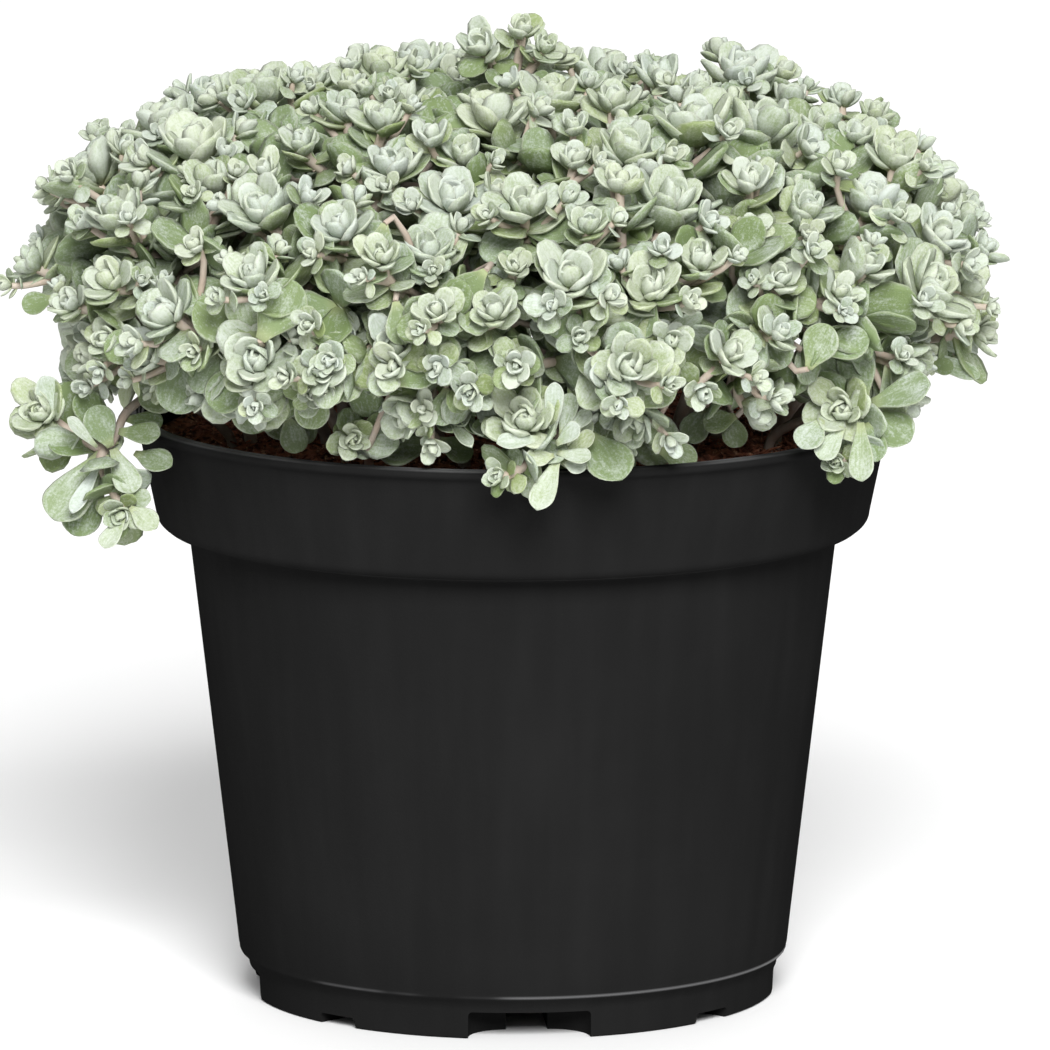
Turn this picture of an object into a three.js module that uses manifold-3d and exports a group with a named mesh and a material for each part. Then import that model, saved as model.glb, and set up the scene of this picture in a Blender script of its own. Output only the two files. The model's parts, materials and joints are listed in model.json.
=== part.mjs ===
// A stonecrop of the Cape Blanco kind, growing as a mounded mat in a black nursery pot.
// Millimetres, +Z up. The origin is the middle of the pot's base, on the surface it stands on.
// -Y is the front. The plant is one leafy shoot after another: each shoot is one closed body,
// a stem that stands in a hole in the soil and forks into stalks that end in leaf rosettes.
import * as THREE from 'three';
import { mergeVertices } from 'three/addons/utils/BufferGeometryUtils.js';
import Module from 'manifold-3d';

const wasm = await Module();
wasm.setup();

// Pot
const POT_HEIGHT = 92;
const RIM_RADIUS = 60;
const COLLAR_TOP_RADIUS = 58.7;
const COLLAR_FOOT_RADIUS = 55.7;
const COLLAR_FOOT_HEIGHT = 74.2;
const BODY_TOP_RADIUS = 50.8;
const BODY_FOOT_RADIUS = 43.0;
const BODY_FOOT_HEIGHT = 6.9;
const FOOT_RADIUS = 41.3;
const WALL = 1.2;
const BEAD_HEIGHT = 2.2;
const FLOOR_UNDERSIDE = 4.3;
const FLOOR_TOP = 5.6;
const POT_SIDES = 32;
const NOTCH_TURN = THREE.MathUtils.degToRad(3.7);
const NOTCH_MOUTH = 19;
const CHANNEL_WIDTH = 6.4;
const CHANNEL_CORNER = 6.3;
const RECESS_WIDTH = 7.2;
const RECESS_HEIGHT = 1.7;
const CENTRE_PAD_RADIUS = 7.5;
const CENTRE_RING_RADIUS = 12;
const DRAIN_RADIUS = 2.6;
const DRAIN_REACH = 27;

// Soil
const SOIL_GAP = 0.3;
const SOIL_EDGE_HEIGHT = 87.4;
const SOIL_CROWN = 2.2;
const SOIL_ROUGHNESS = 0.9;
const SOIL_SIDES = 24;
const HOLE_DEPTH = 6;
const HOLE_GAP = 0.4;

// Mound of rosettes: the surface that their centres lie on
const MOUND_CENTRE = 113;
const MOUND_REACH = 72.5;
const MOUND_RISE = 31;
const MOUND_DROP = 21;
const MOUND_POWER = 2.45;
const MOUND_LAST_ANGLE = THREE.MathUtils.degToRad(105);
const FILL_SIZES = [9, 7.2, 5.6];
const FILL_TRIES = 260;
const SHOOTS = 33;
const ROOT_REACH = 45;
const SETTLING_PASSES = 30;
const CROWDING = 0.9;

// Shoots
const SIDES = 5;
const STEM_RADIUS = 1.25;
const STALK_RADIUS = 0.8;
const FORK_DEPTH = 12;
const FORK_SLOPE = 0;
const COLLAR_LEAF = 13.5;
const COLLAR_DROP = 4.5;
const FULLNESS = 1.25;
const FORK_LOWEST = 97;
const BODY_GAP = 0.35;
const NODE_LENGTH = 2.2;
const LEAST_FACING = 0.5;
const NECK_TURNS = 20;
const LEAST_SQUARE = 0.42;
const CLEAR_VOLUME = 0.004;
const SPROUT_WIDTH = 1.5;
const LOOSE_STARTS = [0.3, 0.55, 0.1, 0.75, 0, 0.9];
const COLLAR_SHARES = [1, 0.75, 0.5, 0];
const LARGE_ROSETTE = 7.6;
const FULL_BEFORE = 18;
const SMALL_ROSETTE = 5.2;
const GOLDEN_ANGLE = Math.PI * (3 - Math.sqrt(5));

// The slope that the heights of the seen rosettes were measured at, and the height it turns about
const SIGHT_SLOPE = THREE.MathUtils.degToRad(9.8);
const SIGHT_HEIGHT = 45;
const SIGHT = new THREE.Vector3(0, Math.cos(SIGHT_SLOPE), -Math.sin(SIGHT_SLOPE));

// Rosettes seen from the front: how far across, how high above the middle of the pot, and radius
const SEEN_ROSETTES = [
  [-75.5, 69.2, 4.1], [-68.5, 82.4, 4.7], [-65.5, 89.9, 3.1], [-54.4, 91.8, 5.6], [-47.1, 95.9, 5.6],
  [-38.8, 97.7, 4.4], [-31.7, 98.2, 3.8], [-38.3, 76.6, 6.3], [-32.3, 86.8, 3.8], [-60.7, 76.1, 5.6],
  [-26.2, 73.5, 5], [-61.8, 65.6, 4.4], [-68.5, 62.5, 3.8], [-52.8, 60.5, 5.3], [-56, 53.9, 4.1],
  [-38.8, 53.1, 5.9], [-62.6, 56.7, 3.8], [-25.1, 57, 3.8], [-30.2, 47.7, 2.8], [-15.3, 101.2, 5.6],
  [-25.5, 92.3, 4.4], [-20, 90.7, 4.4], [-18.4, 83.3, 5.3], [-2.8, 91.2, 5.6], [-7.5, 84.9, 4.4],
  [-9, 77.9, 6.3], [1.9, 76.6, 6.9], [5.8, 94.9, 5.6], [15.5, 93.8, 4.4], [9.3, 84.1, 3.8],
  [17.6, 86, 6.3], [16.3, 80.2, 4.1], [8.2, 77.9, 4.4], [11.3, 73.5, 4.1], [-12.9, 69.9, 5.6],
  [-20, 68.8, 4.1], [-17.6, 55.5, 5.9], [-11.4, 60.5, 5.6], [-2.8, 60.2, 6.9], [0.4, 67.2, 3.8],
  [8.7, 65.6, 6.9], [10.5, 57, 4.7], [20.7, 64.1, 6.9], [0.4, 52.7, 5], [-6.4, 48.4, 4.4],
  [17.6, 52, 6.6], [-25.5, 97.4, 3.4], [23.1, 98.7, 5], [35.9, 100.2, 5.9], [42.6, 100.2, 3.4],
  [28.1, 90.2, 6.6], [38.7, 90.2, 6.6], [29.3, 96.2, 4.4], [43.4, 94.9, 4.4], [52, 95.5, 3.4],
  [57.2, 93, 3.4], [48.1, 90.7, 4.7], [53.6, 88.8, 3.8], [59, 85.2, 5], [64.5, 84.3, 4.4],
  [36.4, 80.8, 6.6], [45.3, 76.6, 6.9], [55.1, 78.2, 5.6], [24.3, 77.7, 6.9], [36.4, 73.9, 4.4],
  [28.5, 68.3, 6.3], [40.6, 65.6, 6.6], [54.4, 68, 5.6], [50, 63.8, 5.3], [66.1, 73, 5],
  [70.8, 76.8, 3.8], [64.5, 64.9, 6.3], [70.8, 65.6, 4.4], [73.9, 71.4, 3.4], [23.8, 56.3, 4.1],
  [33.2, 54.2, 7.5], [40.6, 57.4, 5.6],
];

// Shoots that don't follow the mound: the ones that lean over the rim or stand above the rest.
// Each has its root on the soil, the points its stem passes, and its rosettes: centre, facing and
// radius. An old leaf has its bearing in degrees, its rise from level and its length.
const FREE_SHOOTS = [
  {
    name: 'left_trailer',
    root: [-44, -14],
    stem: [[-54, -19, 97.5], [-59.5, -24, 95.5], [-63.5, -26.5, 92.5]],
    rosettes: [
      [[-75, -24, 95.5], [-0.7, -0.55, 0.45], 6],
      [[-61, -36, 80.5], [-0.1, -0.8, -0.5], 4.2],
    ],
    old: [[-150, -0.85, 13.5], [-95, -0.75, 12], [160, 0.5, 11], [-50, -0.3, 10], [20, 0.1, 9]],
  },
  {
    name: 'front_trailer',
    root: [5, -45],
    stem: [[6, -53, 95], [6.5, -61, 96]],
    rosettes: [
      [[3, -66, 103.5], [0, -0.75, 0.65], 7.2],
      [[-4, -68, 92.5], [-0.75, -0.6, -0.2], 3.6],
    ],
    old: [[-75, -0.9, 12], [-25, -0.2, 12]],
  },
  {
    name: 'right_trailer',
    root: [40, -21],
    stem: [[48, -28, 95.5], [53.5, -35, 96.5]],
    rosettes: [
      [[50, -43.5, 100.5], [-0.2, -0.8, 0.5], 6],
      [[50, -45, 90.5], [-0.2, -0.85, -0.3], 3.6],
    ],
    old: [[5, 0.1, 12], [-35, -0.55, 11]],
  },
  {
    name: 'right_reacher',
    root: [44, 2],
    stem: [[54, 0, 98], [61.5, -4, 103]],
    rosettes: [[[73.5, -7, 105], [0.9, -0.35, 0.1], 4.8]],
    old: [[-20, -0.4, 11]],
  },
  {
    name: 'front_bud',
    root: [-22, -41],
    stem: [[-23.5, -46, 94]],
    rosettes: [[[-24, -51, 97], [-0.1, -0.75, 0.6], 4.2]],
    old: [],
  },
  {
    name: 'crown',
    root: [0, 2],
    stem: [[0, 3, 112], [-0.5, 4, 139]],
    rosettes: [
      [[1.5, 3, 151], [0.05, -0.2, 1], 4.4],
      [[-5, 2, 147.5], [-0.55, -0.35, 0.75], 4],
      [[6, 2, 147.5], [0.5, -0.4, 0.75], 4],
    ],
    old: [],
  },
];

const mm = (x, y, z) => new THREE.Vector3(x, y, z);
const UP = mm(0, 0, 1);

// A number from 0 to 1 that is always the same for the same pair.
function draw(index, salt) {
  const wave = Math.sin(index * 12.9898 + salt * 78.233) * 43758.5453;
  return wave - Math.floor(wave);
}
const spread = (index, salt, reach) => (2 * draw(index, salt) - 1) * reach;

// Plan of the plant

const moundRise = (up) => (up > 0 ? MOUND_RISE : MOUND_DROP);

// Half of the mound's outline: the angle is from straight up, at the mound's centre.
function moundOutline(angle) {
  const across = Math.abs(Math.sin(angle) / MOUND_REACH) ** MOUND_POWER;
  const along = Math.abs(Math.cos(angle) / moundRise(Math.cos(angle))) ** MOUND_POWER;
  const reach = (across + along) ** (-1 / MOUND_POWER);
  return { r: reach * Math.sin(angle), z: MOUND_CENTRE + reach * Math.cos(angle) };
}

// 1 on the mound, less inside it.
function moundLevel(point) {
  const across = (Math.hypot(point.x, point.y) / MOUND_REACH) ** MOUND_POWER;
  const up = point.z - MOUND_CENTRE;
  return (across + (Math.abs(up) / moundRise(up)) ** MOUND_POWER) ** (1 / MOUND_POWER);
}

// The direction square to the mound at the point of it that is nearest.
function moundFacing(point) {
  const r = Math.hypot(point.x, point.y);
  const up = point.z - MOUND_CENTRE;
  const outward = (r / MOUND_REACH) ** (MOUND_POWER - 1) / MOUND_REACH;
  const upward = (Math.abs(up) / moundRise(up)) ** (MOUND_POWER - 1) / moundRise(up);
  return mm((outward * point.x) / r, (outward * point.y) / r, Math.sign(up) * upward).normalize();
}

// The angle on the outline that has the given share of the mound's area above it.
function moundAngle(share) {
  const steps = 240;
  const areas = [0];
  for (let i = 1; i <= steps; i += 1) {
    const a = moundOutline(((i - 1) / steps) * MOUND_LAST_ANGLE);
    const b = moundOutline((i / steps) * MOUND_LAST_ANGLE);
    areas.push(areas[i - 1] + (a.r + b.r) * Math.hypot(b.r - a.r, b.z - a.z));
  }
  const wanted = share * areas[steps];
  let i = 1;
  while (i < steps && areas[i] < wanted) i += 1;
  const part = (wanted - areas[i - 1]) / (areas[i] - areas[i - 1]);
  return ((i - 1 + part) / steps) * MOUND_LAST_ANGLE;
}

function moundPoint(angle, azimuth) {
  const { r, z } = moundOutline(angle);
  return mm(r * Math.cos(azimuth), r * Math.sin(azimuth), z);
}

// The point of the mound on a line of sight from the front, or the one nearest to the line.
function seenPoint(across, height) {
  const at = (y) => mm(across, y, SIGHT_HEIGHT + (height - y * Math.sin(SIGHT_SLOPE)) / Math.cos(SIGHT_SLOPE));
  let best = at(0);
  for (let y = -85; y < 30; y += 0.5) {
    const point = at(y);
    if (moundLevel(point) < moundLevel(best)) best = point;
    if (moundLevel(point) <= 1) return point;
  }
  return best;
}

function seenHeads() {
  return SEEN_ROSETTES.map(([across, height, size], index) => {
    const radius = size * FULLNESS;
    const start = seenPoint(across, height);
    const axis = moundFacing(start).add(mm(0, -0.3, 0.2)).normalize();
    return { index, start, axis, radius, depth: spread(index, 8, 2) + 1 };
  });
}

const seat = (head) => head.start.clone().addScaledVector(SIGHT, head.depth);

// Seen rosettes that crowd each other move apart, towards the eye or away from it.
function settle(seen, fixed) {
  const heads = [...fixed, ...seen];
  for (let pass = 0; pass < SETTLING_PASSES; pass += 1) {
    for (const head of heads) head.push = 0;
    heads.forEach((a, i) => heads.slice(i + 1).forEach((b) => {
      const wanted = CROWDING * (a.radius + b.radius) + BODY_GAP;
      const between = a.centre.clone().sub(b.centre);
      if (between.length() >= wanted) return;
      const deep = between.dot(SIGHT);
      const beside = between.lengthSq() - deep ** 2;
      const step = 0.25 * (Math.sqrt(wanted ** 2 - beside) - Math.abs(deep)) * (deep < 0 ? -1 : 1);
      a.push += step;
      b.push -= step;
    }));
    for (const head of seen) {
      head.depth = THREE.MathUtils.clamp(head.depth + head.push, -3, 9);
      head.centre = seat(head);
    }
  }
}

// The rest of the mound fills up with large rosettes first, then with smaller ones in the gaps.
function fillHeads(taken) {
  const heads = [];
  FILL_SIZES.forEach((size, round) => {
    for (let k = 0; k < FILL_TRIES; k += 1) {
      const index = 100 + round * FILL_TRIES + k;
      const angle = moundAngle((k + draw(index, 1)) / FILL_TRIES);
      const start = moundPoint(angle, index * GOLDEN_ANGLE);
      const facing = moundFacing(start);
      const centre = start.addScaledVector(facing, 1 - 4 * draw(index, 2) ** 2);
      const radius = size * (1 - 0.08 * draw(index, 3));
      const crowded = [...taken, ...heads].some((head) => (
        centre.distanceTo(head.centre) < CROWDING * (radius + head.radius) + BODY_GAP));
      if (crowded) continue;
      const lean = mm(spread(index, 4, 0.25), spread(index, 5, 0.25), spread(index, 6, 0.15) + 0.2);
      heads.push({ index, centre, axis: facing.add(lean).normalize(), radius });
    }
  });
  return heads;
}

function freeShoots() {
  return FREE_SHOOTS.map((free) => ({
    name: free.name,
    root: mm(free.root[0], free.root[1], 0),
    stem: free.stem.map((point) => mm(...point)),
    heads: free.rosettes.map(([centre, axis, radius], i) => ({
      index: 300 + i, centre: mm(...centre), axis: mm(...axis).normalize(), radius,
    })),
    old: free.old.map(([bearing, rise, length]) => {
      const turn = THREE.MathUtils.degToRad(bearing);
      const level = Math.sqrt(1 - rise ** 2);
      return { outward: mm(level * Math.cos(turn), level * Math.sin(turn), rise), length };
    }),
  }));
}

const neckOf = (head) => head.centre.clone().addScaledVector(head.axis, -0.5 * head.radius);

// A rosette never faces back along its own stalk.
function turnHead(head, fork) {
  const away = head.centre.clone().sub(fork).normalize();
  while (head.axis.dot(away) < LEAST_FACING) head.axis.addScaledVector(away, 0.1).normalize();
}

// Where two rosettes are still too close, both get smaller.
function shareRoom(shoots) {
  const heads = shoots.flatMap((shoot) => shoot.heads);
  for (const head of heads) {
    head.room = head.radius;
    for (const other of heads) {
      if (other === head) continue;
      const space = (head.centre.distanceTo(other.centre) - BODY_GAP) / CROWDING;
      head.room = Math.min(head.room, (space * head.radius) / (head.radius + other.radius));
    }
  }
  for (const head of heads) head.radius = head.room;
}

// How far the old leaves round a stem can reach before they touch another shoot.
function collarReach(shoot, all) {
  let reach = COLLAR_LEAF;
  const meet = (point, radius) => {
    reach = Math.min(reach, point.distanceTo(shoot.collar) - radius - BODY_GAP);
  };
  for (const other of all) {
    if (other === shoot) continue;
    const ground = other.root.clone().setZ(SOIL_EDGE_HEIGHT);
    const fork = other.stem.at(-1);
    const line = [ground, ...other.stem, neckOf(other.heads[0])];
    line.slice(1).forEach((end, i) => {
      for (let step = 0; step <= 6; step += 1) meet(line[i].clone().lerp(end, step / 6), STEM_RADIUS);
    });
    for (const head of other.heads) {
      for (let step = 1; step <= 6; step += 1) meet(fork.clone().lerp(neckOf(head), step / 6), STALK_RADIUS);
      meet(head.centre, 0.75 * head.radius);
    }
    if (other.collar) reach = Math.min(reach, 0.5 * other.collar.distanceTo(shoot.collar) - 0.5 * BODY_GAP);
  }
  return Math.max(reach, 3.5);
}

function plantPlan() {
  const free = freeShoots();
  const fixed = free.flatMap((shoot) => shoot.heads);
  const stemGuards = free.slice(0, 4).flatMap((shoot) => shoot.stem.map((point) => ({
    centre: point, radius: 3,
  })));
  const seen = seenHeads();
  for (const head of seen) head.centre = seat(head);
  settle(seen, [...fixed, ...stemGuards]);
  const fill = fillHeads([...fixed, ...stemGuards, ...seen]);

  const tips = Array.from({ length: SHOOTS }, (_, i) => {
    const share = (i + 0.5) / SHOOTS;
    return { share, centre: moundPoint(moundAngle(share), i * GOLDEN_ANGLE + 0.5), heads: [] };
  });
  for (const head of [...seen, ...fill]) {
    const nearest = tips.reduce((best, tip) => (
      tip.centre.distanceTo(head.centre) < best.centre.distanceTo(head.centre) ? tip : best));
    nearest.heads.push(head);
  }
  const shoots = tips.filter((tip) => tip.heads.length > 0);
  shoots.forEach((shoot, number) => {
    shoot.name = `shoot_${String(number + 1).padStart(2, '0')}`;
    const middle = mm(0, 0, 0);
    for (const head of shoot.heads) middle.addScaledVector(head.centre, 1 / shoot.heads.length);
    const worth = (head) => head.radius - 0.35 * head.centre.distanceTo(middle);
    shoot.heads.sort((a, b) => worth(b) - worth(a));
    const azimuth = Math.atan2(middle.y, middle.x);
    const rootReach = ROOT_REACH * Math.sqrt(shoot.share);
    shoot.root = mm(rootReach * Math.cos(azimuth), rootReach * Math.sin(azimuth), 0);
    const facing = moundFacing(middle);
    facing.z = Math.max(facing.z, FORK_SLOPE);
    const fork = middle.clone().addScaledVector(facing.normalize(), -FORK_DEPTH);
    fork.z = Math.max(fork.z, FORK_LOWEST);
    const bend = shoot.root.clone().lerp(fork, 0.4);
    bend.z = SOIL_EDGE_HEIGHT + 0.62 * (fork.z - SOIL_EDGE_HEIGHT);
    shoot.stem = [bend, fork];
    shoot.collar = fork.clone().add(bend.clone().sub(fork).setLength(COLLAR_DROP));
    shoot.old = [];
  });
  const all = [...free, ...shoots];
  for (const shoot of all) {
    shoot.heads[0].lead = true;
    for (const head of shoot.heads) turnHead(head, shoot.stem.at(-1));
  }
  shareRoom(all);
  for (const shoot of shoots) shoot.reach = collarReach(shoot, all);
  return all;
}

// Solids

function solidFromGeometry(geometry) {
  geometry.deleteAttribute('normal');
  geometry.deleteAttribute('uv');
  const merged = mergeVertices(geometry, 1e-4);
  return new wasm.Manifold(new wasm.Mesh({
    numProp: 3,
    vertProperties: merged.attributes.position.array,
    triVerts: new Uint32Array(merged.index.array),
  }));
}

function solidFromSkin(points, triangles) {
  const geometry = new THREE.BufferGeometry();
  geometry.setAttribute('position', new THREE.Float32BufferAttribute(points.flatMap((p) => [p.x, p.y, p.z]), 3));
  geometry.setIndex(triangles);
  return solidFromGeometry(geometry);
}

function geometryFromSolid(solid) {
  const mesh = solid.getMesh();
  const geometry = new THREE.BufferGeometry();
  geometry.setAttribute('position', new THREE.BufferAttribute(mesh.vertProperties, 3));
  geometry.setIndex(new THREE.BufferAttribute(mesh.triVerts, 1));
  return geometry.toNonIndexed();
}

function lathe(profile, sides) {
  const points = [...profile, profile[0]].map(([r, z]) => new THREE.Vector2(r, z));
  const geometry = new THREE.LatheGeometry(points, sides);
  geometry.rotateX(Math.PI / 2);
  return solidFromGeometry(geometry);
}

function prism(outline, bottom, top) {
  const shape = new THREE.Shape(outline.map(([x, y]) => new THREE.Vector2(x, y)));
  const geometry = new THREE.ExtrudeGeometry(shape, { depth: top - bottom, bevelEnabled: false });
  geometry.translate(0, 0, bottom);
  return solidFromGeometry(geometry);
}

const polygon = (x, y, radius, sides) => Array.from({ length: sides }, (_, k) => [
  x + radius * Math.cos((2 * Math.PI * k) / sides),
  y + radius * Math.sin((2 * Math.PI * k) / sides),
]);

const turned = (outline, angle) => outline.map(([x, y]) => [
  x * Math.cos(angle) - y * Math.sin(angle),
  x * Math.sin(angle) + y * Math.cos(angle),
]);

// Pot

// The pot's inner radius at a height, for the soil as well as for the wall itself.
const insideProfile = () => {
  const step = COLLAR_FOOT_HEIGHT - WALL;
  return [
    [BODY_FOOT_RADIUS - WALL, FLOOR_TOP],
    [BODY_TOP_RADIUS - WALL, step],
    [COLLAR_FOOT_RADIUS - WALL, step + WALL],
    [COLLAR_TOP_RADIUS - WALL, POT_HEIGHT - BEAD_HEIGHT],
  ];
};

function potSolid() {
  const inside = insideProfile();
  const body = lathe([
    [0, 0],
    [FOOT_RADIUS - 0.6, 0],
    [FOOT_RADIUS, 1],
    [FOOT_RADIUS + 0.2, BODY_FOOT_HEIGHT - 2],
    [BODY_FOOT_RADIUS, BODY_FOOT_HEIGHT],
    [BODY_TOP_RADIUS, COLLAR_FOOT_HEIGHT],
    [COLLAR_FOOT_RADIUS - 0.9, COLLAR_FOOT_HEIGHT],
    [COLLAR_FOOT_RADIUS, COLLAR_FOOT_HEIGHT + 1.4],
    [COLLAR_TOP_RADIUS, POT_HEIGHT - BEAD_HEIGHT],
    [RIM_RADIUS, POT_HEIGHT - BEAD_HEIGHT + 0.5],
    [RIM_RADIUS, POT_HEIGHT - 0.4],
    [RIM_RADIUS - 0.5, POT_HEIGHT],
    [COLLAR_TOP_RADIUS - WALL, POT_HEIGHT],
    ...inside.toReversed(),
    [0, FLOOR_TOP],
  ], POT_SIDES);

  // Each drainage channel starts as a wide notch in the foot, and narrows round two pad corners.
  const corner = (side) => Array.from({ length: 4 }, (_, k) => {
    const angle = (k / 3) * (Math.PI / 2);
    return [
      FOOT_RADIUS - 1.6 - CHANNEL_CORNER * Math.sin(angle),
      side * (CHANNEL_WIDTH / 2 + CHANNEL_CORNER * Math.cos(angle)),
    ];
  });
  const inner = CENTRE_PAD_RADIUS + 1.5;
  const channel = [
    [FOOT_RADIUS + 3, -NOTCH_MOUTH / 2],
    [FOOT_RADIUS + 3, NOTCH_MOUTH / 2],
    ...corner(1),
    [inner, CHANNEL_WIDTH / 2],
    [inner, -CHANNEL_WIDTH / 2],
    ...corner(-1).toReversed(),
  ];
  const recess = [
    [FOOT_RADIUS - 9, -RECESS_WIDTH / 2],
    [FOOT_RADIUS + 3, -RECESS_WIDTH / 2],
    [FOOT_RADIUS + 3, RECESS_WIDTH / 2],
    [FOOT_RADIUS - 9, RECESS_WIDTH / 2],
  ];
  const cuts = [lathe([
    [CENTRE_PAD_RADIUS, -1],
    [CENTRE_RING_RADIUS, -1],
    [CENTRE_RING_RADIUS, FLOOR_UNDERSIDE],
    [CENTRE_PAD_RADIUS, FLOOR_UNDERSIDE],
  ], 16)];
  for (let k = 0; k < 4; k += 1) {
    const angle = NOTCH_TURN - Math.PI / 2 + (k * Math.PI) / 2;
    cuts.push(prism(turned(channel, angle), -1, FLOOR_UNDERSIDE));
    cuts.push(prism(turned(recess, angle + Math.PI / 4), -1, RECESS_HEIGHT));
    cuts.push(prism(turned(polygon(DRAIN_REACH, 0, DRAIN_RADIUS, 8), angle), 2, FLOOR_TOP + 1));
  }
  return cuts.reduce((solid, cut) => solid.subtract(cut), body);
}

// Soil

// Height of the peat's surface: highest in the middle and uneven all over.
function soilHeight(x, y) {
  const r = Math.hypot(x, y) / COLLAR_TOP_RADIUS;
  const lumps = Math.sin(x * 0.31 + 1.1) * Math.sin(y * 0.27) + 0.6 * Math.sin(x * 0.53 - y * 0.61);
  return SOIL_EDGE_HEIGHT + SOIL_CROWN * (1 - r * r) + 0.5 * SOIL_ROUGHNESS * lumps;
}

function soilSolid(shoots) {
  const inside = insideProfile();
  const rings = inside.slice(0, 3).map(([r, z], i) => [r - SOIL_GAP, i === 0 ? z + SOIL_GAP : z]);
  const top = inside[3];
  const below = inside[2];
  const part = (SOIL_EDGE_HEIGHT - below[1]) / (top[1] - below[1]);
  const edge = below[0] + part * (top[0] - below[0]) - SOIL_GAP - 0.2;
  const reaches = [edge, 47, 34, 20, 8];
  const points = [mm(0, 0, FLOOR_TOP + SOIL_GAP)];
  const triangles = [];
  const ringPoint = (r, k, z) => {
    const angle = (2 * Math.PI * k) / SOIL_SIDES;
    const x = r * Math.cos(angle);
    const y = r * Math.sin(angle);
    return mm(x, y, z ?? soilHeight(x, y));
  };
  for (const [r, z] of rings) for (let k = 0; k < SOIL_SIDES; k += 1) points.push(ringPoint(r, k, z));
  for (const r of reaches) for (let k = 0; k < SOIL_SIDES; k += 1) points.push(ringPoint(r, k));
  points.push(mm(0, 0, soilHeight(0, 0)));
  const count = rings.length + reaches.length;
  const at = (ring, k) => 1 + ring * SOIL_SIDES + (k % SOIL_SIDES);
  for (let k = 0; k < SOIL_SIDES; k += 1) {
    triangles.push(0, at(0, k + 1), at(0, k));
    for (let ring = 0; ring + 1 < count; ring += 1) {
      triangles.push(at(ring, k), at(ring, k + 1), at(ring + 1, k + 1));
      triangles.push(at(ring, k), at(ring + 1, k + 1), at(ring + 1, k));
    }
    triangles.push(at(count - 1, k), at(count - 1, k + 1), points.length - 1);
  }
  const holes = shoots.map((shoot) => {
    const bottom = soilHeight(shoot.root.x, shoot.root.y) - HOLE_DEPTH;
    const radius = (STEM_RADIUS + HOLE_GAP) * Math.SQRT2;
    return prism(polygon(shoot.root.x, shoot.root.y, radius, 4), bottom, SOIL_EDGE_HEIGHT + 6);
  });
  return holes.reduce((solid, hole) => solid.subtract(hole), solidFromSkin(points, triangles));
}

// Leafy stems

// The skin of one shoot: rings of points joined by walls. A wall of a stem can be drawn out into a
// leaf, or into a stalk that ends in a rosette, so the whole shoot stays one closed body.
class Skin {
  points = [];

  triangles = [];

  add(point) {
    return this.points.push(point) - 1;
  }

  face(...corners) {
    this.triangles.push(...corners);
  }

  // A ring of points round an axis; the first one lies in the direction given, turned by an angle.
  ring(centre, axis, radius, towards, turn = 0) {
    const u = towards.clone().addScaledVector(axis, -towards.dot(axis)).normalize();
    const v = axis.clone().cross(u);
    const ids = Array.from({ length: SIDES }, (_, k) => {
      const angle = turn + (2 * Math.PI * k) / SIDES;
      return this.add(centre.clone()
        .addScaledVector(u, radius * Math.cos(angle))
        .addScaledVector(v, radius * Math.sin(angle)));
    });
    return { ids, centre, axis, u, v, turn };
  }

  // The wall between two rings, one four-sided piece at a time.
  walls(lower, upper) {
    return lower.ids.map((id, k) => {
      const next = (k + 1) % SIDES;
      return [id, lower.ids[next], upper.ids[next], upper.ids[k]];
    });
  }

  plain([a, b, c, d]) {
    this.face(a, b, c);
    this.face(a, c, d);
  }

  join(lower, upper) {
    for (const wall of this.walls(lower, upper)) this.plain(wall);
  }

  leaf([a, b, c, d], { tip, left, right }) {
    const [end, one, other] = [this.add(tip), this.add(left), this.add(right)];
    this.face(c, d, end);
    this.face(d, one, end);
    this.face(c, end, other);
    this.face(a, one, d);
    this.face(b, c, other);
    this.face(a, b, end);
    this.face(b, other, end);
    this.face(end, one, a);
  }

  cap(ring, point) {
    const end = this.add(point);
    ring.ids.forEach((id, k) => this.face(end, id, ring.ids[(k + 1) % SIDES]));
  }

  centre(wall) {
    return wall.reduce((sum, id) => sum.addScaledVector(this.points[id], 0.25), mm(0, 0, 0));
  }

  normal([a, b, c, d]) {
    const across = this.points[c].clone().sub(this.points[a]);
    return across.cross(this.points[d].clone().sub(this.points[b])).normalize();
  }

  solid() {
    return solidFromSkin(this.points, this.triangles);
  }
}

// Whether the edge from p to q passes through the inside of a triangle.
function edgeCrosses(p, q, [a, b, c]) {
  const [way, ab, ac, pa] = [q.clone().sub(p), b.clone().sub(a), c.clone().sub(a), p.clone().sub(a)];
  const square = way.clone().cross(ac);
  const size = ab.dot(square);
  if (Math.abs(size) < 1e-9) return false;
  const one = pa.dot(square) / size;
  const second = pa.cross(ab);
  const other = way.dot(second) / size;
  const along = ac.dot(second) / size;
  return one > 1e-3 && other > 1e-3 && one + other < 1 - 1e-3 && along > 1e-3 && along < 1 - 1e-3;
}

// Whether any face of a skin passes through another of its faces.
function crossesItself({ points, triangles }) {
  const faces = [];
  for (let i = 0; i < triangles.length; i += 3) {
    const corners = triangles.slice(i, i + 3).map((id) => points[id]);
    faces.push({ corners, box: new THREE.Box3().setFromPoints(corners) });
  }
  return faces.some((face) => faces.some((other) => (
    face !== other && face.box.intersectsBox(other.box)
    && face.corners.some((p, k) => edgeCrosses(p, face.corners[(k + 1) % 3], other.corners)))));
}

// A direction square to an axis, chosen the same way every time.
function crossways(axis) {
  const away = Math.abs(axis.z) < 0.9 ? UP : mm(1, 0, 0);
  return away.clone().cross(axis).normalize();
}

// Leaf points round an axis: reach is across it and rise along it, both to the leaf's tip.
function leafPoints(base, axis, outward, { reach, rise, wide, sag }) {
  const along = axis.clone().cross(outward);
  const place = (share, side) => base.clone()
    .addScaledVector(outward, reach * share)
    .addScaledVector(axis, rise * share ** sag)
    .addScaledVector(along, side);
  return { tip: place(1, 0), left: place(0.8, -wide), right: place(0.8, wide) };
}

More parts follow.
